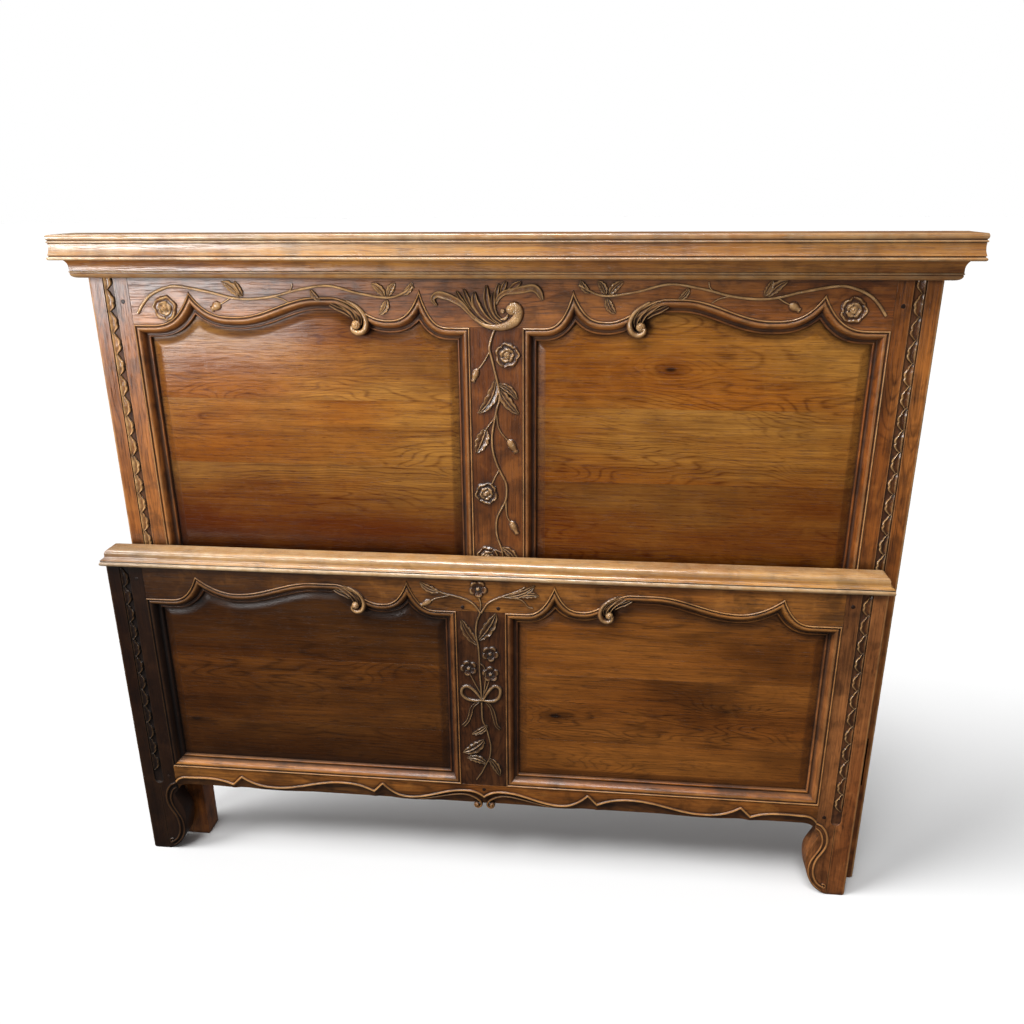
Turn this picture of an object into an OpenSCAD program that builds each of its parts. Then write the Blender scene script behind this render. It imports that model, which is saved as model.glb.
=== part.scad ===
// Carved oak bed ends: a panelled headboard with a cornice and a lower panelled footboard,
// standing one behind the other as they do when the side rails are off.
// X runs across the bed, Y from the footboard to the headboard, Z up from the floor.
// The origin is on the floor, in the middle of the box round both ends.

/* [Overall] */
// Width over the posts of both ends
bed_w = 1600; // [1500:10:1700]
// Height of the headboard over its cornice
head_h = 1399; // [1380:1:1500]
// Height of the footboard's frame under its cap
foot_h = 732; // [725:1:800]
// How far the footboard stands to the left of the headboard's middle
foot_shift = -32; // [-35:1:35]
// Free space between the back of the footboard's frame and the headboard's face
stack_gap = 15; // [12:1:60]

/* [Frames] */
// Thickness of the headboard's frame
head_t = 50; // [48:1:60]
// Thickness of the footboard's frame
foot_t = 42; // [42:1:50]
// Width of a post's flat face
post_w = 80; // [78:1:90]
// Width of a muntin's flat face
muntin_w = 100; // [96:1:120]
// Height of the headboard's sight edge, where the top rail is straight
head_sight = 1228; // [1200:1:1240]
// Height of the headboard's lower sight edge
head_sill = 330; // [300:1:380]
// Underside of the headboard's bottom rail
head_under = 142; // [120:1:180]
// Height of the footboard's sight edge, where the top rail is straight
foot_sight = 659; // [640:1:662]
// Height of the footboard's lower sight edge
foot_sill = 234; // [230:1:260]
// Underside of the apron
apron_under = 180; // [172:1:184]
// Height of the apron's waved edge where it is lowest
apron_wave = 188; // [186:1:196]
// How far the apron is cut back under its waved edge
apron_cut = 7; // [4:1:12]

/* [Stuck moulding and panels] */
// Width of the moulding worked on the edge of the frame
stuck_w = 26; // [24:1:28]
// Width of the moulding's round, from the sight edge
round_w = 17; // [14:1:18]
// Depth of the round below the face
round_y = 3; // [2:0.5:4]
// Depth of the inner fillet below the face
fillet_y = 9; // [7:0.5:11]
// Depth of the panel's face below the frame's face
panel_y = 13; // [12:0.5:14]
// Thickness of a panel
panel_t = 14; // [10:1:14]
// How far a panel's groove runs into the frame
groove_d = 12; // [10:1:14]
// Play of a panel in the depth of its groove
panel_play = 2; // [1:0.5:3]

/* [Cornice and cap] */
// How far the crown moulding stands out from the posts
crown_out = 47; // [44:1:50]
// Height of the crown moulding
crown_h = 46; // [46:1:50]
// Height of the bed moulding under the crown
bed_mould_h = 35; // [35:1:40]
// Thickness of the board that closes the top
top_board_t = 14; // [12:1:18]
// How far the footboard's cap stands out from its frame
cap_out = 9; // [8:0.5:9]
// Height of the cap
cap_h = 34; // [32:1:40]

/* [Joints and iron] */
// Length of the rails' tenons
tenon_l = 45; // [40:1:48]
// Thickness of every tenon
tenon_t = 14; // [12:1:14]
// Radius of the wooden draw pegs
peg_r = 4; // [3:0.5:4.5]
// Height of a hook plate's middle above the floor
plate_z = 310; // [300:1:330]
// Height of a hook plate
plate_h = 120; // [110:1:130]
// Width of a hook plate
plate_w = 26; // [24:1:28]
// Thickness of a hook plate
plate_t = 3; // [2.5:0.5:4]
// Width of a hook slot
slot_w = 3.6; // [3:0.1:3.8]

/* [Hidden] */

big = 4000;
half_w = bed_w / 2;
sight_in = muntin_w / 2;
sight_out = half_w - post_w;
open_w = sight_out - sight_in;
curve_steps = 12;

// Depth of everything together, from the cap's nosing to the headboard's back.
stack_d = cap_out + foot_t + stack_gap + head_t;
foot_face = cap_out - stack_d / 2;
head_face = foot_face + foot_t + stack_gap;

crown_z = head_h - crown_h;
bed_mould_z = crown_z - bed_mould_h;
head_frame_h = head_h - top_board_t;

// Round parts of the cap's and the crown's sections
nosing_r = 5.2;
bead_r = 3.5;

// Sunk channel for the carved leaf chain on each post
channel_in = half_w - 50;
channel_out = half_w - 29;
channel_d = 3;
head_channel_z = 430;
foot_channel_z = 185;

// Tenons: middle layer of each frame, with room above and below
head_tenon_y = 30;
foot_tenon_y = 29;
tenon_inset = 12;
muntin_tenon_w = 90;
muntin_tenon_l = 38;
peg_l = 38;
peg_x = half_w - 65;

// Hook plates lie over a pocket for the side rail's hooks
plate_x = half_w - 23;
pocket_w = 10;
pocket_d = 14;
slot_h = 26;
slot_gap = 24;
screw_r = 2;
screw_head_r = 4;
screw_l = 26;
screw_z = plate_h / 2 - 10;

// Shaped edges. A row is one stretch: [u0, rise0, u1, rise1, power]. u is the place across
// the half span, rise the height over the straight part. The stretch leaves (u0, rise0) level
// and meets (u1, rise1) as steeply as its power; power 0 is a wave that is level at both ends.
HEAD_EDGE = [
    [0, 0, 0.05, 0, 0], [0.05, 0, 0.142, 70, 3.2], [0.24, 13, 0.142, 70, 3],
    [0.24, 13, 0.40, 55, 0], [0.40, 55, 0.44, 55, 0], [0.44, 55, 0.685, 17, 0],
    [0.685, 17, 0.82, 64, 3], [0.955, 0, 0.82, 64, 3], [0.955, 0, 1, 0, 0]
];
FOOT_EDGE = [
    [0, 0, 0.06, 0, 0], [0.06, 0, 0.152, 64, 2.6], [0.24, 10, 0.152, 64, 3],
    [0.24, 10, 0.38, 51, 0], [0.38, 51, 0.448, 51, 0], [0.448, 51, 0.70, 19, 0],
    [0.70, 19, 0.828, 55, 2], [0.925, 0, 0.828, 55, 3], [0.925, 0, 1, 0, 0]
];
APRON_EDGE = [
    [0.058, 26, 0, 11, 2.5], [0.058, 26, 0.235, 0, 0], [0.235, 0, 0.319, 30, 2.2],
    [0.319, 30, 0.347, 8, 1], [0.451, 26, 0.347, 8, 2.4], [0.451, 26, 0.667, 1, 0],
    [0.667, 1, 0.776, 24, 2.5], [0.776, 24, 0.806, 2, 1], [0.903, 15, 0.806, 2, 2.5],
    [0.903, 15, 0.955, 14, 0], [0.955, 14, 1, -2, 3]
];

// ---- curves ----

function blend(t, power) = power == 0 ? (1 - cos(180 * t)) / 2 : pow(t, power);

function row_at(edge, u) =
    [for (r = edge) if (min(r[0], r[2]) <= u && u <= max(r[0], r[2])) r][0];

function rise_at(edge, u) =
    let (r = row_at(edge, u))
    r[1] + (r[3] - r[1]) * blend((u - r[0]) / (r[2] - r[0]), r[4]);

// Stations along an edge: every stretch is cut into the same number of steps.
function stations(edge) = concat(
    [for (r = edge) for (i = [0:curve_steps - 1])
        min(r[0], r[2]) + abs(r[2] - r[0]) * i / curve_steps],
    [1]
);

// Height of a shaped sight edge moved into the opening by d, mitred where it has a cusp.
function sunk_edge(edge, x, d) = min([
    for (a = [-90:7.5:90])
        let (u = (x + d * sin(a) - sight_in) / open_w)
        rise_at(edge, min(1, max(0, u))) - d * cos(a)
]);

// A point on a cubic Bezier curve
function bezier(p, t) =
    pow(1 - t, 3) * p[0] + 3 * pow(1 - t, 2) * t * p[1]
    + 3 * (1 - t) * pow(t, 2) * p[2] + pow(t, 3) * p[3];

function curve(p, n = curve_steps) = [for (i = [0:n]) bezier(p, i / n)];

function arc(mid, r, a0, a1, n = 8) =
    [for (i = [0:n]) let (a = a0 + (a1 - a0) * i / n) mid + r * [cos(a), sin(a)]];

// ---- helpers ----

// Extrudes an outline drawn in X and Z from depth y0 back to depth y1.
module slab(y0, y1) {
    translate([0, y1, 0])
        rotate([90, 0, 0])
            linear_extrude(y1 - y0)
                children();
}

module in_headboard() {
    translate([0, head_face, 0])
        children();
}

module in_footboard() {
    translate([foot_shift, foot_face, 0])
        children();
}

module mirrored() {
    mirror([1, 0, 0])
        children();
}

module both_sides() {
    children();
    mirrored()
        children();
}

// Right-hand opening between muntin and post, moved inwards by d
module opening(edge, sight, sill, d) {
    xs = [for (u = stations(edge)) sight_in + u * open_w];
    top = [for (x = xs) if (x > sight_in + d && x < sight_out - d)
        [x, sight + sunk_edge(edge, x, d)]];
    polygon(concat(
        [[sight_in + d, sill + d], [sight_in + d, sight - d]],
        top,
        [[sight_out - d, sight - d], [sight_out - d, sill + d]]
    ));
}

// What the moulded opening, its stepped moulding and the panel's groove take from a frame
module opening_cut(edge, sight, sill, thick) {
    both_sides() {
        slab(-1, round_y)
            opening(edge, sight, sill, 0);
        slab(round_y - 1, fillet_y)
            opening(edge, sight, sill, round_w);
        slab(fillet_y - 1, thick + 1)
            opening(edge, sight, sill, stuck_w);
        slab(panel_y, panel_y + panel_t)
            opening(edge, sight, sill, stuck_w - groove_d);
    }
}

module panel(edge, sight, sill) {
    slab(panel_y, panel_y + panel_t)
        opening(edge, sight, sill, stuck_w - groove_d + panel_play);
}

// A tenon's box: x0 to x1, z0 to z1, centred on depth y
module tenon(x0, x1, z0, z1, y) {
    translate([x0, y - tenon_t / 2, z0])
        cube([x1 - x0, tenon_t, z1 - z0]);
}

module rail_tenons(z0, z1, y) {
    both_sides()
        tenon(sight_out, sight_out + tenon_l, z0 + tenon_inset, z1 - tenon_inset, y);
}

module muntin_tenons(sill, sight, y) {
    half = muntin_tenon_w / 2;
    tenon(-half, half, sight, sight + muntin_tenon_l, y);
    tenon(-half, half, sill - muntin_tenon_l, sill, y);
}

// One peg along Y with its face at the frame's face
module peg(x, z) {
    translate([x, 0, z])
        rotate([-90, 0, 0])
            cylinder(r = peg_r, h = peg_l, $fn = 24);
}

// ---- hook plates ----

// Plate with its face at y = 0 and its body towards +Y
module plate_body() {
    difference() {
        translate([-plate_w / 2, 0, -plate_h / 2])
            cube([plate_w, plate_t, plate_h]);
        for (s = [-1, 1]) {
            translate([-slot_w / 2, -1, s * slot_gap - slot_h / 2])
                cube([slot_w, plate_t + 2, slot_h]);
            translate([0, -1, s * screw_z])
                rotate([-90, 0, 0])
                    cylinder(r = screw_r, h = plate_t + 2, $fn = 24);
            translate([0, 0, s * screw_z])
                rotate([-90, 0, 0])
                    cylinder(r1 = screw_head_r, r2 = screw_r, h = plate_t - 1, $fn = 24);
        }
    }
}

// Recess for the plate, the pocket behind it and its screw holes
module plate_recess() {
    translate([-plate_w / 2, -1, -plate_h / 2])
        cube([plate_w, plate_t + 1, plate_h]);
    translate([-pocket_w / 2, 0, -plate_h / 2 + 20])
        cube([pocket_w, plate_t + pocket_d, plate_h - 40]);
    for (s = [-1, 1])
        translate([0, 0, s * screw_z])
            rotate([-90, 0, 0])
                cylinder(r = screw_r, h = screw_l, $fn = 24);
}

module plate_screws() {
    for (s = [-1, 1])
        translate([0, 0, s * screw_z])
            rotate([-90, 0, 0]) {
                cylinder(r = screw_r, h = screw_l, $fn = 24);
                cylinder(r1 = screw_head_r, r2 = screw_r, h = plate_t - 1, $fn = 24);
            }
}

// Plates lie in the headboard's front and in the footboard's back.
module at_head_plate() {
    translate([plate_x, 0, plate_z])
        children();
}

module at_foot_plate() {
    translate([plate_x, foot_t, plate_z])
        mirror([0, 1, 0])
            children();
}

// ---- pegs, in each frame's own place ----

module head_pegs() {
    both_sides() {
        peg(peg_x, head_sight + 44);
        peg(peg_x, head_sill - 50);
        peg(peg_x, head_under + 40);
    }
    peg(0, head_sill - 20);
}

module foot_pegs() {
    both_sides() {
        peg(peg_x, foot_sight + 44);
        peg(peg_x, foot_sill - 30);
        peg(37, foot_sight + 9);
    }
    peg(0, foot_sill - 12);
}

// ---- frame blanks, before their openings are cut ----

module post_blank(sight, sill, top, thick, foot) {
    slab(0, thick)
        polygon(concat(
            foot,
            [
                [sight_out, sill],
                [sight_out - stuck_w, sill + stuck_w],
                [sight_out - stuck_w, sight - stuck_w],
                [sight_out, sight],
                [sight_out, top],
                [half_w, top]
            ]
        ));
}

module top_rail_blank(sight, top, thick) {
    slab(0, thick)
        polygon([
            [-sight_out, top], [-sight_out, sight],
            [-sight_out + stuck_w, sight - stuck_w], [-sight_in - stuck_w, sight - stuck_w],
            [-sight_in, sight], [sight_in, sight],
            [sight_in + stuck_w, sight - stuck_w], [sight_out - stuck_w, sight - stuck_w],
            [sight_out, sight], [sight_out, top]
        ]);
}

module bottom_rail_blank(sill, thick, underside) {
    slab(0, thick)
        polygon(concat(
            underside,
            [
                [sight_out, sill], [sight_out - stuck_w, sill + stuck_w],
                [sight_in + stuck_w, sill + stuck_w], [sight_in, sill],
                [-sight_in, sill], [-sight_in - stuck_w, sill + stuck_w],
                [-sight_out + stuck_w, sill + stuck_w], [-sight_out, sill]
            ]
        ));
}

module muntin_blank(sight, sill, thick) {
    slab(0, thick)
        both_sides()
            polygon([
                [0, sill], [sight_in, sill], [sight_in + stuck_w, sill + stuck_w],
                [sight_in + stuck_w, sight - stuck_w], [sight_in, sight], [0, sight]
            ]);
}

// Sunk channel in a right-hand post, with a round lower end
module channel(z0, top) {
    mid = (channel_in + channel_out) / 2;
    r = (channel_out - channel_in) / 2;
    slab(-1, channel_d) {
        translate([channel_in, z0 + r])
            square([2 * r, top - z0]);
        translate([mid, z0 + r])
            circle(r = r, $fn = 32);
    }
}

// ---- headboard ----

module head_cut() {
    opening_cut(HEAD_EDGE, head_sight, head_sill, head_t);
}

module headboard_right_post() {
    color("saddlebrown")
        in_headboard()
            difference() {
                post_blank(head_sight, head_sill, head_frame_h, head_t,
                    [[half_w, 0], [sight_out, 0]]);
                head_cut();
                channel(head_channel_z, head_frame_h);
                rail_tenons(head_sight, head_frame_h, head_tenon_y);
                rail_tenons(head_under, head_sill, head_tenon_y);
                head_pegs();
                at_head_plate()
                    plate_recess();
            }
}

module headboard_left_post() {
    mirrored()
        headboard_right_post();
}

module headboard_top_rail() {
    color("sienna")
        in_headboard()
            difference() {
                union() {
                    top_rail_blank(head_sight, head_frame_h, head_t);
                    rail_tenons(head_sight, head_frame_h, head_tenon_y);
                }
                head_cut();
                muntin_tenons(head_sill, head_sight, head_tenon_y);
                head_pegs();
            }
}

module headboard_bottom_rail() {
    color("sienna")
        in_headboard()
            difference() {
                union() {
                    bottom_rail_blank(head_sill, head_t,
                        [[-sight_out, head_under], [sight_out, head_under]]);
                    rail_tenons(head_under, head_sill, head_tenon_y);
                }
                head_cut();
                muntin_tenons(head_sill, head_sight, head_tenon_y);
                head_pegs();
            }
}

module headboard_muntin() {
    color("peru")
        in_headboard()
            difference() {
                union() {
                    muntin_blank(head_sight, head_sill, head_t);
                    muntin_tenons(head_sill, head_sight, head_tenon_y);
                }
                head_cut();
                head_pegs();
            }
}

module headboard_right_panel() {
    color("chocolate")
        in_headboard()
            panel(HEAD_EDGE, head_sight, head_sill);
}

module headboard_left_panel() {
    mirrored()
        headboard_right_panel();
}

module headboard_pegs() {
    color("black")
        in_headboard()
            head_pegs();
}

module headboard_right_hook_plate() {
    color("dimgray")
        in_headboard()
            at_head_plate()
                plate_body();
}

module headboard_left_hook_plate() {
    mirrored()
        headboard_right_hook_plate();
}

module headboard_plate_screws() {
    color("silver")
        in_headboard()
            both_sides()
                at_head_plate()
                    plate_screws();
}

// ---- cornice: two tiers of moulding, each mitred round the front and both ends ----

// Crown section: x is the distance out from the frame, y the height over the crown's foot
module crown_section() {
    polygon(concat(
        [[0, 0]],
        arc([crown_out - bead_r - 0.5, bead_r], bead_r, -90, 75),
        [[crown_out - 4, 8.2]],
        curve([[crown_out, 10], [crown_out - 4, 17], [crown_out - 5, 29], [crown_out - 1, 35]]),
        [[crown_out - 4, 36.5], [crown_out - 1, 38]],
        curve([[crown_out - 1, 38], [crown_out - 0.5, 42], [crown_out - 2, crown_h],
            [crown_out - 5, crown_h]]),
        [[0, crown_h]]
    ));
}

// Bed moulding section: a quarter round, a fillet and a hollow that flares to the crown
module bed_mould_section() {
    polygon(concat(
        [[0, 0]],
        curve([[4, 0], [12, 0], [18.5, 4], [19, 10.5]]),
        [[20.5, 10.5], [20.5, 13]],
        curve([[20.5, 13], [20.5, 23], [22, 31], [28, bed_mould_h]]),
        [[0, bed_mould_h]]
    ));
}

// Keeps what lies in front of both mitre planes, which start at the frame's front corners.
module front_mitre() {
    linear_extrude(big)
        polygon([[-half_w, 0], [-half_w - big, -big], [half_w + big, -big], [half_w, 0]]);
}

module front_run(z) {
    intersection() {
        translate([-big, 0, z])
            rotate([90, 0, 90])
                linear_extrude(2 * big)
                    mirror([1, 0, 0])
                        children();
        front_mitre();
    }
}

module right_return(z) {
    intersection() {
        translate([half_w, head_t, z])
            rotate([90, 0, 0])
                linear_extrude(big)
                    children();
        linear_extrude(big)
            polygon([[half_w, 0], [half_w + big, -big], [half_w + big, head_t], [half_w, head_t]]);
    }
}

module crown_front() {
    color("burlywood")
        in_headboard()
            front_run(crown_z)
                crown_section();
}

module crown_right_return() {
    color("tan")
        in_headboard()
            right_return(crown_z)
                crown_section();
}

module crown_left_return() {
    mirrored()
        crown_right_return();
}

module bed_mould_front() {
    color("peru")
        in_headboard()
            front_run(bed_mould_z)
                bed_mould_section();
}

module bed_mould_right_return() {
    color("sandybrown")
        in_headboard()
            right_return(bed_mould_z)
                bed_mould_section();
}

module bed_mould_left_return() {
    mirrored()
        bed_mould_right_return();
}

module crown_top_board() {
    color("wheat")
        in_headboard()
            translate([-half_w, 0, head_frame_h])
                cube([bed_w, head_t, top_board_t]);
}

// ---- footboard ----

// The apron's underside turns down to meet each foot.
apron_turn = 30;
apron_end_z = apron_under - 14;

// Inner profile of a right-hand foot, from the toe up to the apron
FOOT_TOE = [half_w - 35, 0];
FOOT_BULGE = [half_w - 92, 99];
FOOT_WAIST = [half_w - 72.5, 157];
FOOT_PROFILE = concat(
    [[half_w, 4], [half_w - 3, 0]],
    curve([FOOT_TOE, [half_w - 78, 5], [half_w - 92, 60], FOOT_BULGE]),
    curve([FOOT_BULGE, [half_w - 92, 120], [half_w - 72.5, 140], FOOT_WAIST]),
    [[sight_out, apron_end_z]]
);

module foot_cut() {
    opening_cut(FOOT_EDGE, foot_sight, foot_sill, foot_t);
}

module footboard_right_post() {
    color("saddlebrown")
        in_footboard()
            difference() {
                post_blank(foot_sight, foot_sill, foot_h, foot_t, FOOT_PROFILE);
                foot_cut();
                channel(foot_channel_z, foot_h);
                rail_tenons(foot_sight, foot_h, foot_tenon_y);
                rail_tenons(apron_under, foot_sill, foot_tenon_y);
                foot_pegs();
                cap_dowels();
                at_foot_plate()
                    plate_recess();
            }
}

module footboard_left_post() {
    translate([2 * foot_shift, 0, 0])
        mirrored()
            footboard_right_post();
}

module footboard_top_rail() {
    color("sienna")
        in_footboard()
            difference() {
                union() {
                    top_rail_blank(foot_sight, foot_h, foot_t);
                    rail_tenons(foot_sight, foot_h, foot_tenon_y);
                }
                foot_cut();
                muntin_tenons(foot_sill, foot_sight, foot_tenon_y);
                foot_pegs();
                cap_dowels();
            }
}

// Right half of the apron's underside, from the middle to the foot
function apron_underside() = concat(
    [[0, apron_under]],
    curve([[sight_out - apron_turn, apron_under], [sight_out - apron_turn / 2, apron_under],
        [sight_out - 2, apron_under - 4], [sight_out, apron_end_z]])
);

// What is cut back below the waved edge on the apron's face
module apron_wave_cut() {
    wave = [for (u = stations(APRON_EDGE)) [u * sight_out, apron_wave + rise_at(APRON_EDGE, u)]];
    slab(-1, apron_cut)
        both_sides()
            polygon(concat([[sight_out, 0], [0, 0]], wave));
}

module footboard_apron() {
    right = apron_underside();
    left = [for (i = [len(right) - 1:-1:1]) [-right[i][0], right[i][1]]];
    color("sienna")
        in_footboard()
            difference() {
                union() {
                    bottom_rail_blank(foot_sill, foot_t, concat(left, right));
                    rail_tenons(apron_under, foot_sill, foot_tenon_y);
                }
                apron_wave_cut();
                foot_cut();
                muntin_tenons(foot_sill, foot_sight, foot_tenon_y);
                foot_pegs();
            }
}

module footboard_muntin() {
    color("peru")
        in_footboard()
            difference() {
                union() {
                    muntin_blank(foot_sight, foot_sill, foot_t);
                    muntin_tenons(foot_sill, foot_sight, foot_tenon_y);
                }
                foot_cut();
                foot_pegs();
            }
}

module footboard_right_panel() {
    color("chocolate")
        in_footboard()
            panel(FOOT_EDGE, foot_sight, foot_sill);
}

module footboard_left_panel() {
    translate([2 * foot_shift, 0, 0])
        mirrored()
            footboard_right_panel();
}

module footboard_pegs() {
    color("black")
        in_footboard()
            foot_pegs();
}

module footboard_right_hook_plate() {
    color("dimgray")
        in_footboard()
            at_foot_plate()
                plate_body();
}

module footboard_left_hook_plate() {
    translate([2 * foot_shift, 0, 0])
        mirrored()
            footboard_right_hook_plate();
}

module footboard_plate_screws() {
    color("silver")
        in_footboard()
            both_sides()
                at_foot_plate()
                    plate_screws();
}

// Cap section across a face: a nosing, a quirk, a hollow and a rounded top edge, for a board
// whose half width is run
module cap_section(run) {
    edge = concat(
        [[0, 0]],
        arc([cap_out - nosing_r, nosing_r], nosing_r, -90, 80),
        [[cap_out - 3.5, 11], [cap_out - 3.5, 12], [cap_out - 1.5, 12.3]],
        curve([[cap_out - 1.7, 12.6], [2, 14], [-0.3, 16], [-0.5, 21]]),
        curve([[-0.7, cap_h - 9], [-0.8, cap_h - 3], [-5, cap_h], [-11, cap_h]])
    );
    right = [for (p = edge) [run + p[0], p[1]]];
    left = [for (i = [len(right) - 1:-1:0]) [-right[i][0], right[i][1]]];
    polygon(concat(right, left));
}

// The cap is moulded on its front and both ends; its back is flush with the frame
module footboard_cap() {
    color("burlywood")
        in_footboard()
            difference() {
                intersection() {
                    translate([0, big / 2, foot_h])
                        rotate([90, 0, 0])
                            linear_extrude(big)
                                cap_section(half_w);
                    translate([-big / 2, foot_t, foot_h])
                        rotate([90, 0, 90])
                            linear_extrude(big)
                                cap_section(foot_t);
                    translate([-big / 2, foot_t - big, foot_h])
                        cube([big, big, cap_h]);
                }
                cap_dowels();
            }
}

// Hidden dowels between the frame and the cap
module cap_dowels() {
    for (x = [-half_w + 22, -half_w / 2, half_w / 2, half_w - 22])
        translate([x, foot_t / 2, foot_h - 28])
            cylinder(r = 5, h = 56, $fn = 24);
}

module footboard_cap_dowels() {
    color("tan")
        in_footboard()
            cap_dowels();
}

headboard_left_post();
headboard_right_post();
headboard_top_rail();
headboard_bottom_rail();
headboard_muntin();
headboard_left_panel();
headboard_right_panel();
headboard_pegs();
bed_mould_front();
bed_mould_left_return();
bed_mould_right_return();
crown_front();
crown_left_return();
crown_right_return();
crown_top_board();
headboard_left_hook_plate();
headboard_right_hook_plate();
headboard_plate_screws();
footboard_left_post();
footboard_right_post();
footboard_top_rail();
footboard_apron();
footboard_muntin();
footboard_left_panel();
footboard_right_panel();
footboard_pegs();
footboard_cap();
footboard_cap_dowels();
footboard_left_hook_plate();
footboard_right_hook_plate();
footboard_plate_screws();
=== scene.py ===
"""Carved oak bed ends: the looks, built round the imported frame.

Every board is drawn in its own bed end's place, in millimetres: x across from the end's middle, y
into the wood from its face, z up from the floor.
"""

import math

import bmesh
import bpy
import numpy as np
from mathutils import Matrix, Vector

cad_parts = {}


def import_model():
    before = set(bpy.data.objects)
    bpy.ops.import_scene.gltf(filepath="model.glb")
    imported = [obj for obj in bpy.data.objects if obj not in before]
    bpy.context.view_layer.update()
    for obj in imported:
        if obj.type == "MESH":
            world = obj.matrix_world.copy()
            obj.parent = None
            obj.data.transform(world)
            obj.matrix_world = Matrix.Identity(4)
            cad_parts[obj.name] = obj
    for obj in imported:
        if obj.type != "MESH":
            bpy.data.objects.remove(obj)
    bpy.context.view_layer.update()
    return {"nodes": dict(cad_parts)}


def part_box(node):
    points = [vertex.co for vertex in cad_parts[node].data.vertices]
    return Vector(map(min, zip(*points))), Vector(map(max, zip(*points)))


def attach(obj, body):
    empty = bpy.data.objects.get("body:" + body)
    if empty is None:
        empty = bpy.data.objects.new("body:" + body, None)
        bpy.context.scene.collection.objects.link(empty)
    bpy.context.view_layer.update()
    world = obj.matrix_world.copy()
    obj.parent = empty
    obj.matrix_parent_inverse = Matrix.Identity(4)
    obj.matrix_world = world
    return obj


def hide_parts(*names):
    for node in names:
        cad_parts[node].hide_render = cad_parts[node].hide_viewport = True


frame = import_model()

MM = 0.001


# ---- the two ends, as the frame places them ----

def low(node):
    return np.array(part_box(node)[0]) / MM


def high(node):
    return np.array(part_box(node)[1]) / MM


class End:
    """One bed end: its body, its place in the shared frame and its own sight lines. sight and sill
    are the heights of its openings' upper and lower edges, edge the upper one's shape."""

    def __init__(self, body, sight, sill, edge):
        left, right = f"{body}_left_post", f"{body}_right_post"
        self.body = body
        self.shift = (low(left)[0] + high(right)[0]) / 2
        self.half = (high(right)[0] - low(left)[0]) / 2
        self.face = low(right)[1]
        self.thick = high(right)[1] - low(right)[1]
        self.top = high(right)[2]
        self.sight = sight
        self.sill = sill
        self.edge = edge
        self.outer = self.half - POST_W


POST_W = 80
# Half the muntin's width, and how wide the moulding on a sight edge is
SIGHT_IN = 50
STUCK_W = 26
# Panels: their face's depth, thickness and hold in the groove, then their margin's width, how far
# it falls back, and how dark it is made, painted shade along the moulding
PANEL_Y = 13
PANEL_T = 14
PANEL_HOLD = 10
PANEL_MARGIN = 20
PANEL_FALL = 4.5
MARGIN_SHADE = -0.3
# A post's sunk channel: its inner and outer edges, in from the post's outer face, and its depth
CHANNEL_IN = 50
CHANNEL_OUT = 29
CHANNEL_D = 3

# Shaped edges, one stretch a row: [u0, rise0, u1, rise1, power], as in the CAD model
HEAD_EDGE = [
    [0, 0, 0.05, 0, 0], [0.05, 0, 0.142, 70, 3.2], [0.24, 13, 0.142, 70, 3],
    [0.24, 13, 0.40, 55, 0], [0.40, 55, 0.44, 55, 0], [0.44, 55, 0.685, 17, 0],
    [0.685, 17, 0.82, 64, 3], [0.955, 0, 0.82, 64, 3], [0.955, 0, 1, 0, 0],
]
FOOT_EDGE = [
    [0, 0, 0.06, 0, 0], [0.06, 0, 0.152, 64, 2.6], [0.24, 10, 0.152, 64, 3],
    [0.24, 10, 0.38, 51, 0], [0.38, 51, 0.448, 51, 0], [0.448, 51, 0.70, 19, 0],
    [0.70, 19, 0.828, 55, 2], [0.925, 0, 0.828, 55, 3], [0.925, 0, 1, 0, 0],
]
APRON_EDGE = [
    [0.058, 26, 0, 11, 2.5], [0.058, 26, 0.235, 0, 0], [0.235, 0, 0.319, 30, 2.2],
    [0.319, 30, 0.347, 8, 1], [0.451, 26, 0.347, 8, 2.4], [0.451, 26, 0.667, 1, 0],
    [0.667, 1, 0.776, 24, 2.5], [0.776, 24, 0.806, 2, 1], [0.903, 15, 0.806, 2, 2.5],
    [0.903, 15, 0.955, 14, 0], [0.955, 14, 1, -2, 3],
]
APRON_UNDER = 180
APRON_WAVE = 188
APRON_TURN = 30
APRON_DROP = 14

HEAD = End("headboard", 1228, 330, HEAD_EDGE)
FOOT = End("footboard", 659, 234, FOOT_EDGE)


# ---- curves ----

def rise(edge, u):
    """Height of a shaped edge over its straight part at the places u."""
    u = np.clip(u, 0, 1)
    out = np.zeros_like(u, dtype=float)
    for u0, r0, u1, r1, power in edge:
        here = (min(u0, u1) <= u) & (u <= max(u0, u1))
        t = np.clip((u - u0) / (u1 - u0), 0, 1)
        share = (1 - np.cos(np.pi * t)) / 2 if power == 0 else t ** power
        out = np.where(here, r0 + (r1 - r0) * share, out)
    return out


SWING = np.radians(np.linspace(-90, 90, 61))


def sunk(end, x, d):
    """Sight edge of an end moved into the opening by d at the places x."""
    d = max(d, 0)
    x = np.asarray(x, float)[..., None]
    u = (x + d * np.sin(SWING) - SIGHT_IN) / (end.outer - SIGHT_IN)
    return end.sight + (rise(end.edge, u) - d * np.cos(SWING)).min(axis=-1)


def cusps(end):
    """Places of the sight edge's cusps: the ends of its steep stretches."""
    peaks = sorted({r[2] for r in end.edge if r[4] > 0})
    return [SIGHT_IN + u * (end.outer - SIGHT_IN) for u in peaks]


# How far either side of a cusp its mitre may wander, and in how many places it is looked for
MITRE_REACH = 12
MITRE_STEPS = 193


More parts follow.
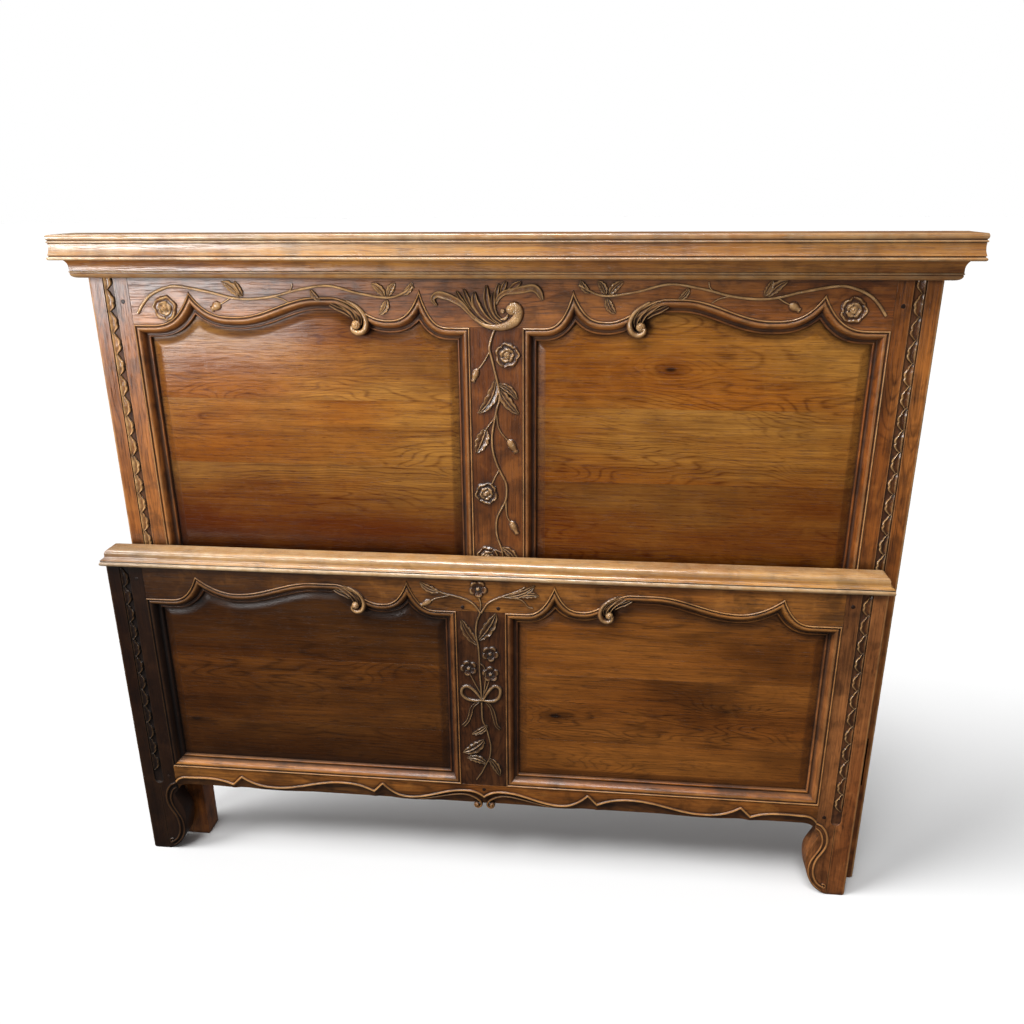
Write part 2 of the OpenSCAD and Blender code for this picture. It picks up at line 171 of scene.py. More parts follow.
def stations(end, d, spans):
    """Places across an opening at depth d into it, with one exactly on each mitred cusp."""
    stops = [SIGHT_IN + d]
    for c in cusps(end):
        near = np.linspace(c - MITRE_REACH, c + MITRE_REACH, MITRE_STEPS)
        stops.append(near[np.argmax(sunk(end, near, d))])
    stops.append(end.outer - d)
    parts = [np.linspace(a, b, n, endpoint=False) for a, b, n in zip(stops, stops[1:], spans)]
    return np.concatenate(parts + [[stops[-1]]])


def bezier(a, b, c, d, n):
    t = np.linspace(0, 1, n)[:, None]
    a, b, c, d = (np.array(p, float) for p in (a, b, c, d))
    return (1 - t) ** 3 * a + 3 * (1 - t) ** 2 * t * b + 3 * (1 - t) * t ** 2 * c + t ** 3 * d


def arc(mid, r, a0, a1, n):
    a = np.radians(np.linspace(a0, a1, n))
    return np.stack([mid[0] + r * np.cos(a), mid[1] + r * np.sin(a)], 1)


def through(points, n):
    """Smooth curve through given points, in n evenly spaced stations."""
    p = np.array(points, float)
    p = np.vstack([2 * p[0] - p[1], p, 2 * p[-1] - p[-2]])
    fine = []
    for i in range(len(p) - 3):
        a, b, c, d = p[i:i + 4]
        t = np.linspace(0, 1, 16, endpoint=False)[:, None]
        fine.append(0.5 * (2 * b + (c - a) * t + (2 * a - 5 * b + 4 * c - d) * t ** 2
                           + (3 * b - a - 3 * c + d) * t ** 3))
    fine = np.vstack(fine + [p[-2][None]])
    run = np.concatenate([[0], np.cumsum(np.linalg.norm(np.diff(fine, axis=0), axis=1))])
    at = np.linspace(0, run[-1], n)
    return np.stack([np.interp(at, run, fine[:, k]) for k in range(fine.shape[1])], 1)


def bump(x, mid, width):
    return np.exp(-((x - mid) / width) ** 2)


def xyz(x, y, z):
    """Points from their three coordinates, any of which may be the same for all."""
    return np.stack(np.broadcast_arrays(x, y, z), -1)


# ---- meshes ----

SHARP = math.radians(38)


class Shape:
    """Closed shells of one piece, with three values at each point: rub, from -1 for dirt and
    painted shade in quirks, hollows and at the foot of the relief to 1 for edges rubbed bare and,
    where it is raised on the left-hand side, painted sheen; board, any number, which moves the
    grain so that no two boards match; tone, from -2 for black to 1 for pale, which also paints
    shade on the footboard's left-hand side and sheen on the headboard's left-hand carving. usual
    is the tone and bright the extra rub of all shells from here on, a painted highlight on ridges
    and left-hand parts, and mirror puts them on the left-hand side."""

    def __init__(self, end, usual=0.0, bright=0.0, mirror=False):
        self.end = end
        self.usual = usual
        self.bright = bright
        self.mirror = mirror
        self.points = []
        self.faces = []
        self.rub = []
        self.board = []
        self.tone = []
        self.count = 0

    def loft(self, rings, rub=0.0, board=0.0, tone=None):
        """Skins closed rings of points and closes both ends."""
        tone = self.usual if tone is None else tone
        rings = np.array(rings, float)
        n, m = rings.shape[:2]
        if self.mirror:
            rings = rings * [-1, 1, 1]
        index = self.count + np.arange(n * m).reshape(n, m)
        after = np.roll(index, -1, axis=1)
        quads = np.stack([index[:-1], after[:-1], after[1:], index[1:]], -1).reshape(-1, 4)
        self.faces += quads.tolist()
        self.faces += [index[0][::-1].tolist(), index[-1].tolist()]
        self.points.append(rings.reshape(-1, 3))
        self.rub.append(np.broadcast_to(np.asarray(rub) + self.bright, (n, m)).reshape(-1))
        self.board.append(np.full(n * m, board))
        self.tone.append(np.broadcast_to(tone, (n, m)).reshape(-1))
        self.count += n * m

    def cover(self, node, slot, material):
        """Makes the object that stands for a node of the frame."""
        self.finish(f"oak_{node}", slot, material, node)

    def finish(self, name, slot, material, *replaces):
        """Makes the object, in the shared frame, riding on its end's body."""
        points = np.vstack(self.points) + [self.end.shift, self.end.face, 0]
        mesh = bpy.data.meshes.new(name)
        mesh.from_pydata((points * MM).tolist(), [], self.faces)
        for label, values in (("rub", self.rub), ("board", self.board), ("tone", self.tone)):
            attribute = mesh.attributes.new(label, "FLOAT", "POINT")
            attribute.data.foreach_set("value", np.concatenate(values).astype(np.float32))
        work = bmesh.new()
        work.from_mesh(mesh)
        bmesh.ops.recalc_face_normals(work, faces=work.faces)
        work.to_mesh(mesh)
        work.free()
        mesh.shade_smooth()
        mesh.set_sharp_from_angle(angle=SHARP)
        mesh.materials.append(material)
        piece = bpy.data.objects.new(name, mesh)
        bpy.context.scene.collection.objects.link(piece)
        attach(piece, self.end.body)
        if replaces:
            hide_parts(*replaces)


# ---- materials ----

def linear(r, g, b):
    """Colour of a paint chip, 0 to 255, in the renderer's linear values."""
    return tuple((c / 255 / 12.92) if c <= 10 else ((c / 255 + 0.055) / 1.055) ** 2.4
                 for c in (r, g, b)) + (1,)


class Graph:
    """A material and short ways to add its nodes."""

    def __init__(self, name):
        self.material = bpy.data.materials.new(name)
        self.material.use_nodes = True
        self.tree = self.material.node_tree
        self.shader = self.tree.nodes["Principled BSDF"]

    def put(self, socket, value):
        if isinstance(value, bpy.types.NodeSocket):
            self.tree.links.new(value, socket)
        else:
            socket.default_value = value

    def node(self, kind, given, **settings):
        """Adds a node; given holds its inputs by name or number, each a value or a socket."""
        node = self.tree.nodes.new("ShaderNode" + kind)
        for name, value in settings.items():
            setattr(node, name, value)
        for key, value in given.items():
            self.put(node.inputs[key], value)
        return node

    def math(self, operation, a, b=0.0):
        return self.node("Math", {0: a, 1: b}, operation=operation).outputs[0]

    def span(self, value, lo, hi, to_lo=0.0, to_hi=1.0, smooth=False):
        kind = "SMOOTHSTEP" if smooth else "LINEAR"
        given = {0: value, 1: lo, 2: hi, 3: to_lo, 4: to_hi}
        return self.node("MapRange", given, interpolation_type=kind).outputs[0]

    def mul(self, a, b):
        return self.math("MULTIPLY", a, b)

    def add(self, a, b):
        return self.math("ADD", a, b)

    def mix(self, share, a, b):
        return self.node("Mix", {0: share, 6: a, 7: b}, data_type="RGBA").outputs[2]

    def noise(self, vector, scale, detail=2.0, roughness=0.5, distortion=0.0):
        given = {"Vector": vector, "Scale": scale, "Detail": detail, "Roughness": roughness,
                 "Distortion": distortion}
        return self.node("TexNoise", given).outputs["Fac"]

    def knots(self, vector):
        """Distance to the nearest knot on a board; most cells of the pattern hold none."""
        cells = self.node("TexVoronoi", {"Vector": vector, "Scale": 1.0}, voronoi_dimensions="2D")
        parts = self.node("SeparateColor", {0: cells.outputs["Color"]})
        missing = self.span(parts.outputs[0], 0.30, 0.31, 0.0, 9.0)
        return self.add(cells.outputs["Distance"], missing)

    def attribute(self, name):
        return self.node("Attribute", {}, attribute_name=name).outputs["Fac"]

    def vector(self, x, y, z):
        return self.node("CombineXYZ", {0: x, 1: y, 2: z}).outputs[0]

    def place(self):
        """Place on the piece, in metres, as three separate values."""
        place = self.node("TexCoord", {}).outputs["Object"]
        return list(self.node("SeparateXYZ", {0: place}).outputs)

    def recess(self, distance):
        """How shut in a place is: 0 in the open, 1 deep in a corner."""
        node = self.node("AmbientOcclusion", {"Distance": distance}, samples=6)
        return self.math("SUBTRACT", 1.0, node.outputs["AO"])

    def relief(self, height, depth, strength, **under):
        """Bump in metres; under may name the Normal it lies on."""
        given = {"Strength": strength, "Distance": depth, "Height": height, **under}
        return self.node("Bump", given).outputs[0]


# Growth lines: their phase per metre across a board, and how far the figure bends them
GROWTH = 330.0
SWAY = 230.0


def oak(name, grain, dark, mid, light, worn_and_sheen, rough=0.34, figure=1.0, recess_dirt_and_shade=0.8, near=0.012,
        mottle=1.0, hollow_dirt_and_shade=0.75, sheen=0.45, knotty=False):
    """Stained, waxed oak with its grain along X or Z, in four paint chips from latewood to the
    palest, for edges rubbed bare and painted sheen. Ambient occlusion darkens recesses as painted
    shade with
    some dirt: near is the width of the recesses so darkened and grime how strongly; soil is how dark
    negative rub makes a place, dirt and painted shade in quirks and hollows."""
    g = Graph(name)
    dark, mid, light, worn_and_sheen = (linear(*chip) for chip in (dark, mid, light, worn_and_sheen))
    x, y, z = g.place()
    along, across = (x, z) if grain == "X" else (z, x)
    board, rub, tone_of = g.attribute("board"), g.attribute("rub"), g.attribute("tone")
    along = g.add(along, g.mul(board, 3.7))
    across = g.add(across, g.mul(board, 1.31))

    def stretched(a, b):
        return g.vector(g.mul(along, a), g.mul(across, b), g.mul(y, b))

    def fibres(a, b, detail, roughness, distortion=0.0):
        return g.noise(stretched(a, b), 1.0, detail, roughness, distortion)

    cloud = fibres(1.3, 6.0, 3.0, 0.5, 0.3)
    phase = g.add(g.mul(across, GROWTH), g.mul(cloud, SWAY * figure))
    figured = g.span(fibres(2.3, 6.0, 2.0, 0.5), 0.46, 0.60, 0.12, 0.62, True)
    if knotty:
        knot = g.add(g.knots(stretched(3.2, 8.0)), g.mul(cloud, 0.10))
        knot = g.math("SUBTRACT", knot, 0.05)
        phase = g.add(phase, g.span(knot, 0.0, 0.40, 24.0, 0.0, True))
        figured = g.math("MAXIMUM", figured, g.span(knot, 0.10, 0.42, 0.42, 0.0, True))
    line = g.math("POWER", g.span(g.math("SINE", phase), -1.0, 1.0), 5.0)
    patch = fibres(1.8, 7.0, 3.0, 0.55)
    streak = fibres(1.6, 70.0, 4.0, 0.66)
    fleck = g.span(fibres(26.0, 240.0, 2.0, 0.6), 0.61, 0.67)
    fibre = fibres(7.0, 300.0, 3.0, 0.65)
    pore = g.span(fibres(20.0, 800.0, 2.0, 0.65), 0.56, 0.70)
    stain = fibres(3.0, 5.0, 3.0, 0.6)
    wax = g.noise(g.vector(x, y, z), 17.0, 4.0, 0.62, 0.3)
    soot_and_shade = linear(24, 12, 7)

    line = g.mul(line, g.span(fibre, 0.30, 0.62, 0.4, 1.0))
    # Tone above 0 lightens, below 0 darkens and below -1 blackens: a painted sheen on the headboard's
    # left-hand carving, painted shade on the footboard's left-hand side and the cap's far left end,
    # and tints that differ from board to board.
    layers = [(g.span(streak, 0.38, 0.66, 0.0, 0.38), dark), (g.mul(line, figured), dark),
              (g.mul(fleck, 0.45), dark), (g.span(fibre, 0.42, 0.66, 0.0, 0.36), dark),
              (g.mul(pore, 0.50), dark), (g.span(tone_of, 0.0, 1.0, 0.0, 0.55), light),
              (g.span(stain, 0.48, 0.74, 0.0, 0.50, True), dark),
              (g.span(tone_of, 0.0, -1.0, 0.0, 0.80), dark)]
    if knotty:
        layers += [(g.span(knot, 0.04, 0.17, 0.55, 0.0, True), dark),
                   (g.span(knot, 0.015, 0.05, 0.85, 0.0, True), soot_and_shade)]
    clean = g.mul(g.span(wax, 0.46, 0.32, 0.0, 0.40 * mottle, True),
                  g.span(tone_of, 0.0, -1.0, 1.0, 0.3))
    layers += [(g.span(wax, 0.48, 0.66, 0.0, 0.50 * mottle, True), soot_and_shade), (clean, light),
               (g.span(tone_of, -1.0, -2.0, 0.0, 0.86), soot_and_shade)]
    tone = g.mix(g.span(patch, 0.32, 0.70, smooth=True), mid, light)
    for share, colour in layers:
        tone = g.mix(share, tone, colour)

    # Painted shade: ambient occlusion darkens corners, the wood under mouldings and round the carving
    # towards near-black; negative rub darkens quirks, hollows and the foot of the relief, as dirt and
    # painted shade.
    shade = g.span(g.recess(0.055), 0.08, 0.55, 0.0, 0.66, smooth=True)
    shade = g.mul(shade, g.span(wax, 0.36, 0.58, 0.55, 1.0))
    deep = g.mul(g.span(g.recess(near), 0.05, 0.46, smooth=True), recess_dirt_and_shade)
    deep = g.math("MAXIMUM", deep, g.span(rub, -0.05, -0.9, 0.0, hollow_dirt_and_shade))
    tone = g.mix(g.math("MAXIMUM", g.mul(shade, recess_dirt_and_shade), deep), tone, soot_and_shade)
    # The palest chip on rubbed edges and carved ridges: partly wear, partly a painted highlight and
    # sheen.
    scuff = g.noise(g.vector(x, y, z), 42.0, 3.0, 0.6)
    wear_and_sheen = g.mul(g.span(rub, 0.1, 0.95), g.span(scuff, 0.32, 0.66, 0.35, 1.0))
    wear_and_sheen = g.mul(wear_and_sheen, g.span(tone_of, 0.0, -1.8, 0.88, 0.12))
    tone = g.mix(wear_and_sheen, tone, worn_and_sheen)
    g.put(g.shader.inputs["Base Color"], tone)

    gloss = g.span(patch, 0.2, 0.8, rough - 0.05, rough + 0.08)
    gloss = g.add(gloss, g.mul(pore, 0.14))
    gloss = g.add(gloss, g.mul(deep, 0.45))
    gloss = g.math("SUBTRACT", gloss, g.mul(wear_and_sheen, 0.08))
    g.put(g.shader.inputs["Roughness"], gloss)

    planed = fibres(5.0, 26.0, 2.0, 0.5)
    normal = g.relief(planed, 0.0011, 0.5)
    grainy = g.math("SUBTRACT", g.mul(fibre, 0.5), pore)
    g.put(g.shader.inputs["Normal"], g.relief(grainy, 0.00030, 0.9, Normal=normal))
    g.shader.inputs["Specular IOR Level"].default_value = sheen
    g.shader.inputs["Coat Weight"].default_value = 0.12
    g.shader.inputs["Coat Roughness"].default_value = 0.16
    return g.material


def metal(name, base, rust, rough):
    """Dark iron with rust in spots, and its recesses darkened to near-black as painted shade."""
    g = Graph(name)
    x, y, z = g.place()
    spots = g.noise(g.vector(x, y, z), 90.0, 4.0, 0.65)
    fine = g.noise(g.vector(x, y, z), 900.0, 2.0, 0.6)
    share = g.span(spots, 0.45, 0.68, smooth=True)
    tone = g.mix(share, base, rust)
    # Painted shade: recesses darkened to near-black.
    tone = g.mix(g.span(g.recess(0.004), 0.1, 0.7), tone, linear(22, 17, 14))
    g.put(g.shader.inputs["Base Color"], tone)
    g.put(g.shader.inputs["Metallic"], g.span(share, 0.0, 1.0, 0.9, 0.15))
    g.put(g.shader.inputs["Roughness"], g.span(spots, 0.3, 0.7, rough, rough + 0.3))
    g.put(g.shader.inputs["Normal"], g.relief(g.add(spots, fine), 0.0003, 0.7))
    return g.material


DARK = (54, 20, 6)
LOW_DARK = (40, 16, 5)
FRAME_Z = oak("oak_upright", "Z", DARK, (168, 93, 34), (204, 125, 54), (232, 176, 114),
              mottle=0.9, sheen=0.5)
FRAME_X = oak("oak_rail", "X", DARK, (162, 90, 32), (202, 126, 54), (240, 184, 118), figure=0.6,
              mottle=0.9, sheen=0.7)
PANEL = oak("oak_panel", "X", (74, 19, 0), (184, 108, 33), (212, 148, 64), (200, 134, 66),
            rough=0.24, figure=1.1, recess_dirt_and_shade=0.85, mottle=0.25, sheen=0.25, knotty=True)
LOW_Z = oak("oak_foot_upright", "Z", LOW_DARK, (172, 98, 46), (206, 132, 72), (214, 152, 88),
            mottle=0.9)
LOW_X = oak("oak_foot_rail", "X", LOW_DARK, (176, 102, 36), (212, 138, 60), (222, 164, 98),
            figure=0.6, mottle=0.9)
# The footboard's panel is darker than the headboard's: painted shade.
LOW_PANEL = oak("oak_foot_panel", "X", (38, 16, 3), (150, 84, 28), (186, 114, 44),
                (170, 108, 52), rough=0.26, figure=1.1, recess_dirt_and_shade=0.85, mottle=0.25, sheen=0.34,
                knotty=True)
# The cornice's, cap's and carving's palest chips are near-cream: rubbed wood and a painted sheen and
# highlight.
CORNICE = oak("oak_cornice", "X", (104, 48, 18), (189, 116, 41), (213, 146, 60),
              (226, 203, 160), figure=0.35, near=0.008, hollow_dirt_and_shade=0.6, mottle=0.6, sheen=0.9)
CAP = oak("oak_cap", "X", (110, 60, 24), (212, 146, 72), (228, 174, 100), (242, 214, 172),
          rough=0.24, figure=0.3, near=0.006, mottle=0.6, hollow_dirt_and_shade=0.8, sheen=1.0)
CARVED = oak("oak_carving", "Z", (34, 16, 7), (128, 72, 30), (168, 102, 46), (242, 192, 130),
             rough=0.22, figure=0.5, recess_dirt_and_shade=0.75, near=0.006, mottle=0.7, hollow_dirt_and_shade=0.85, sheen=0.8)
PEG = oak("oak_peg_ends", "Z", (22, 11, 6), (46, 24, 10), (66, 36, 16), (84, 50, 26), rough=0.5,
          figure=2.0)
IRON = metal("dark_iron", linear(70, 66, 62), linear(84, 48, 28), 0.42)
STEEL = metal("dull_steel", linear(128, 122, 114), linear(96, 62, 40), 0.36)


# ---- the moulding worked on the frames' sight edges ----

# Section of the stuck moulding: distance from the sight edge, depth below the face, rub; its lowest
# values paint shade into the quirk under the torus.
STUCK = np.array([
    (0.0, 0.4, -0.7), (0.3, -0.9, 0.1), (0.9, -2.0, 0.8), (1.8, -2.5, 1.0), (2.7, -2.0, 0.8),
    (3.4, -0.9, 0.0), (3.8, 0.5, -0.5), (4.6, 0.8, -0.5), (5.4, -0.3, 0.0), (6.6, -1.3, 0.2),
    (8.0, -1.7, 0.45), (9.6, -1.5, 0.4), (11.2, -0.7, 0.2), (12.8, 0.7, 0.1), (14.2, 2.6, 0.0),
    (15.6, 5.2, -0.2), (16.8, 8.4, -0.5), (17.6, 11.2, -0.8), (19.4, 12.4, -0.9),
    (21.4, 12.2, -0.8), (22.2, 11.1, -0.2), (23.2, 10.6, 0.1), (24.6, 10.7, 0.0),
    (25.5, 11.4, -0.3), (26.0, 12.4, -0.6),
])
ARRIS = 1.2


def stuck_ring(end):
    """Section of one side of an opening: its worked face, then its plain back."""
    back = [(STUCK_W, end.thick - ARRIS, 0), (STUCK_W - ARRIS, end.thick, 0), (-0.6, end.thick, 0)]
    return np.vstack([STUCK, back])


def stuck_top(shape, tone):
    end = shape.end
    ring = stuck_ring(end)
    columns = []
    for d, depth, _ in ring:
        x = stations(end, d, (44, 150, 56))
        columns.append(xyz(x, depth, sunk(end, x, d) - min(d, 0)))
    shape.loft(np.stack(columns, 1), ring[:, 2], 0.31, tone)


def stuck_run(shape, first, last, board, tone=None):
    """Straight run of the moulding between its mitred ends, each given as x and z."""
    ring = stuck_ring(shape.end)
    a, b = (xyz(x, ring[:, 1], z) for x, z in (first, last))
    rings = [a + (b - a) * t for t in np.linspace(0, 1, 13)]
    shape.loft(rings, ring[:, 2], board, tone)


def stuck_side(shape, x_edge, inward, board, tone=None):
    """Upright run from sill to sight along x_edge; inward is the way into the opening."""
    end = shape.end
    d = stuck_ring(end)[:, 0]
    x = x_edge + inward * d
    stuck_run(shape, (x, end.sill + d), (x, end.sight - d), board, tone)


def stuck_sills(shape, board):
    """The runs along the lower edges of both openings."""
    end = shape.end
    d = stuck_ring(end)[:, 0]
    z = end.sill + d
    for shape.mirror in (False, True):
        stuck_run(shape, (SIGHT_IN + d, z), (end.outer - d, z), board)


# ---- frame members ----

def foot_inner():
    """Inner outline of the footboard's right-hand foot, from the toe up."""
    half = FOOT.half
    toe, bulge, waist = (half - 35, 0), (half - 92, 99), (half - 72.5, 157)
    lower = bezier(toe, (half - 78, 5), (half - 92, 60), bulge, 22)
    upper = bezier(bulge, (half - 92, 120), (half - 72.5, 140), waist, 12)
    return np.vstack([lower, upper[1:], [[FOOT.outer, APRON_UNDER - APRON_DROP]]])


def post_ring(end, inner, z, channel_z, foot_lift):
    """One level of a right-hand post, round its section from the inner back corner."""
    r = (CHANNEL_IN - CHANNEL_OUT) / 2
    mid = end.half - (CHANNEL_IN + CHANNEL_OUT) / 2
    climb = np.clip((z - channel_z) / r, 0, 1)
    reach = max(r * math.sqrt(1 - (1 - climb) ** 2), 0.4)
    depth = CHANNEL_D * min(1, climb * 3)
    edge = 0.5 if end.sight > z > end.sill else 1.0
    outer, t = end.half - foot_lift, end.thick
    round_r = 3.0
    corner = arc((outer - round_r, round_r), round_r, -90, 0, 6)
    # The channel's edges are darkened: painted shade with some dirt.
    points = [(inner, t, 0), (inner, edge, 0), (inner + edge, 0, 0.2), (inner + 2.5, 0, 0),
              (mid - reach - 2.5, 0, 0), (mid - reach - 0.5, 0, 0.5), (mid - reach, 0.5, -0.5),
              (mid - reach + 0.3, depth, -0.9), (mid, depth, -0.5),
              (mid + reach - 0.3, depth, -0.9), (mid + reach, 0.5, -0.5),
              (mid + reach + 0.5, 0, 0.5), (mid + reach + 2.5, 0, 0),
              (outer - round_r - 2.5, 0, 0)]
    points += [(a, b, 0.75) for a, b in corner]
    points += [(outer, round_r + 3, 0), (outer, t - 4, 0), (outer, t - 2, 0.3), (outer - 2, t, 0)]
    x, y, rub = np.array(points).T
    return xyz(x, y, z), rub


def post(end, side, material, channel_z, tone=0.0):
    shape = Shape(end, tone, mirror=side == "left")
    levels = list(np.linspace(channel_z - 1, channel_z + 12, 9))
    levels += list(np.linspace(channel_z + 30, end.top, 24))
    if end is FOOT:
        outline = foot_inner()
        levels += list(outline[:, 1]) + [2]
    else:
        outline = np.array([[end.outer, 0], [end.outer, 10]])
        levels += [0, 3] + list(np.linspace(30, channel_z - 20, 8))
    levels = sorted({round(float(v), 2) for v in levels})
    rings, rubs = [], []
    for z in levels:
        inner = np.interp(z, outline[:, 1], outline[:, 0])
        ring, rub = post_ring(end, inner, z, channel_z, max(0, 3 - z))
        rings.append(ring)
        rubs.append(rub)
    board = 0.13 if shape.mirror else 0.47
    shape.loft(rings, np.array(rubs), board)
    stuck_side(shape, end.outer, -1, board)
    shape.cover(f"{end.body}_{side}_post", "post_wood", material)


def rail_block(shape, x, z0, z1, board, tone=0.0):
    """Plain run of a rail between the heights z0 and z1 at the places x."""
    e = 0.6
    t = shape.end.thick
    z0, z1 = (np.broadcast_to(z, x.shape) for z in (z0, z1))
    ring_y = np.array([t, t - e, e, 0, 0, e, t - e, t])
    share = np.array([0, 0, 0, 0, 1, 1, 1, 1])
    nudge = np.array([e, 0, 0, e, -e, 0, 0, -e])
    z = z0[:, None] * (1 - share) + z1[:, None] * share + nudge
    shape.loft(xyz(x[:, None], ring_y, z), [0, 0, 0, 0.1, 0.1, 0, 0, 0], board, tone)


def top_rail(end, material, left=0.0):
    """Rail with its shaped moulding; left is how much darker its left-hand end is, as painted shade.
    """
    shape = Shape(end)
    half = stations(end, 0, (40, 130, 50))
    z = sunk(end, half, 0)
    x = np.concatenate([-half[::-1], half])
    z = np.concatenate([z[::-1], z])
    tone = left * np.clip(0.25 - x / end.half, 0, 1)
    rail_block(shape, x, z, end.top, 0.31, tone[:, None])
    for shape.mirror in (False, True):
        stuck_top(shape, 0.6 * left if shape.mirror else 0.0)
    shape.cover(f"{end.body}_top_rail", "rail_wood", material)


def bottom_rail():
    shape = Shape(HEAD)
    x = np.linspace(-HEAD.outer, HEAD.outer, 33)
    rail_block(shape, x, low("headboard_bottom_rail")[2], HEAD.sill, 0.77)
    stuck_sills(shape, 0.77)
    shape.cover("headboard_bottom_rail", "rail_wood", FRAME_X)


def muntin(end, material, tone):
    shape = Shape(end, tone)
    e = 0.5
    t = end.thick
    inner = SIGHT_IN - e
    x = np.array([-SIGHT_IN, -SIGHT_IN, -inner, inner, SIGHT_IN, SIGHT_IN])
    y = np.array([t, e, 0, 0, e, t])
    rings = [xyz(x, y, z) for z in np.linspace(end.sill, end.sight, 17)]
    shape.loft(rings, 0.0, 0.63)
    for shape.mirror in (False, True):
        stuck_side(shape, SIGHT_IN, 1, 0.63, 0.7 * tone)
    shape.cover(f"{end.body}_muntin", "rail_wood", material)


# Bead and hollow along the apron's waved edge: height over the wave, depth, rub; its negative values
# paint shade into the quirks beside the bead.
WAVE = np.array([
    (-0.4, 1.3, -0.6), (0.2, -0.2, 0.2), (1.2, -1.5, 0.85), (2.5, -2.0, 1.0), (3.8, -1.5, 0.8),
    (4.8, -0.2, 0.2), (5.4, 1.1, -0.7), (6.4, 1.2, -0.7), (8.2, 0.4, -0.2), (10.5, 0.0, 0.0),
])


def apron_under_z(x):
    """Underside of the apron: straight, then turned down to each foot."""
    turn = FOOT.outer - APRON_TURN
    curve = bezier((turn, APRON_UNDER), (turn + APRON_TURN / 2, APRON_UNDER),
                   (FOOT.outer - 2, APRON_UNDER - 4), (FOOT.outer, APRON_UNDER - APRON_DROP), 25)
    return np.where(np.abs(x) < turn, APRON_UNDER, np.interp(np.abs(x), curve[:, 0], curve[:, 1]))


def apron_wave_z(x, d):
    """The apron's wave moved up into the wood by d."""
    x = np.abs(np.asarray(x, float))[..., None]
    u = np.abs(x + d * np.sin(SWING)) / FOOT.outer
    return APRON_WAVE + (rise(APRON_EDGE, u) + d * np.cos(SWING)).max(axis=-1)


def apron():
    """Lower rail of the footboard, its face cut back under the waved edge."""
    shape = Shape(FOOT)
    steep = [r[2] * FOOT.outer for r in APRON_EDGE if r[4] > 0]
    x = np.unique(np.round(np.concatenate([np.linspace(0, FOOT.outer, 241), steep]), 2))
    x = np.concatenate([-x[:0:-1], x])
    under = apron_under_z(x)
    drop = apron_wave_z(x, 0) + WAVE[0, 0] - under
    t = FOOT.thick

    def hollow(left):
        """Depth of the cut where that much of the drop is left above."""
        return 1.3 + 9 * (np.clip(left, 0, 40) / 33) ** 0.7

    # The cut under the wave darkens the deeper it goes: painted shade.
    columns = [(t, under + 2, 0), (t - 2, under, 0), (hollow(drop) + 1.2, under, -0.1)]
    for share in np.linspace(0, 1, 8)[:-1]:
        columns.append((hollow(drop * (1 - share)), under + 0.8 + (drop - 0.8) * share,
                        -0.5 - 0.35 * share))
    for d, depth, rub in WAVE:
        columns.append((depth, apron_wave_z(x, max(d, 0)) + min(d, 0), rub))
    columns += [(0, FOOT.sill - 0.5, 0.1), (0.5, FOOT.sill, 0), (t, FOOT.sill, 0)]
    rings = np.stack([xyz(x, y, z) for y, z, _ in columns], 1)
    shape.loft(rings, [c[2] for c in columns], 0.55)
    stuck_sills(shape, 0.55)
    shape.cover("footboard_apron", "rail_wood", LOW_X)


def panel_fall(d):
    """How far a panel's face lies back at a distance d inside the opening's sight edge."""
    left = np.clip((STUCK_W + PANEL_MARGIN - d) / PANEL_MARGIN, 0, 1)
    return PANEL_FALL * left * left * (3 - 2 * left)


def panel(end, side, joints, tones, material):
    """Boards glued edge to edge, the top one shaped under the rail's curve. Each board has its
    tone along its lower and its upper edge. The face falls back in a margin round the field."""
    shape = Shape(end, mirror=side == "left")
    hold = STUCK_W - PANEL_HOLD
    steps = STUCK_W + np.linspace(0, PANEL_MARGIN, 7)
    x = np.linspace(SIGHT_IN + hold, end.outer - hold, 80)
    x = np.unique(np.round(np.concatenate([x, SIGHT_IN + steps, end.outer - steps]), 2))
    sides = panel_fall(np.minimum(x - SIGHT_IN, end.outer - x))
    edge_fall = panel_fall(hold)
    back, e = PANEL_Y + PANEL_T, 0.1
    levels = [end.sill + hold] + joints
    for i, bottom in enumerate(levels):
        first, last = i == 0, i == len(joints)
        top = sunk(end, x, hold) if last else levels[i + 1]
        lower = [(end.sill + d, panel_fall(d)) for d in steps] if first else []
        upper = [(sunk(end, x, d), panel_fall(d)) for d in steps[::-1]] if last else []
        face = [(bottom + e, edge_fall if first else 0)] + lower
        face += upper + [(top - e, edge_fall if last else 0)]
        front = []
        for k, (z, fall) in enumerate(face):
            z = np.clip(z, bottom + (k + 1) * e, top - (len(face) - k) * e)
            front.append((PANEL_Y + np.maximum(sides, fall), z))
        ring = [(back, bottom + e), (back - e, bottom), (front[0][0] + e, bottom)] + front
        ring += [(front[-1][0] + e, top), (back - e, top), (back, top - e)]
        margin = [MARGIN_SHADE if fall else 0.0 for _, fall in face]
        rub = np.minimum([0.0] * 3 + margin + [0.0] * 3,
                         np.where(sides > 0, MARGIN_SHADE, 0.0)[:, None])
        tone = np.repeat(tones[i], (4 + len(lower), 4 + len(upper)))
        shape.loft(np.stack([xyz(x, y, z) for y, z in ring], 1), rub,
                   0.11 + 0.29 * i + (0.17 if shape.mirror else 0), tone)
    shape.cover(f"{end.body}_{side}_panel", "panel_wood", material)


# ---- cornice and cap ----

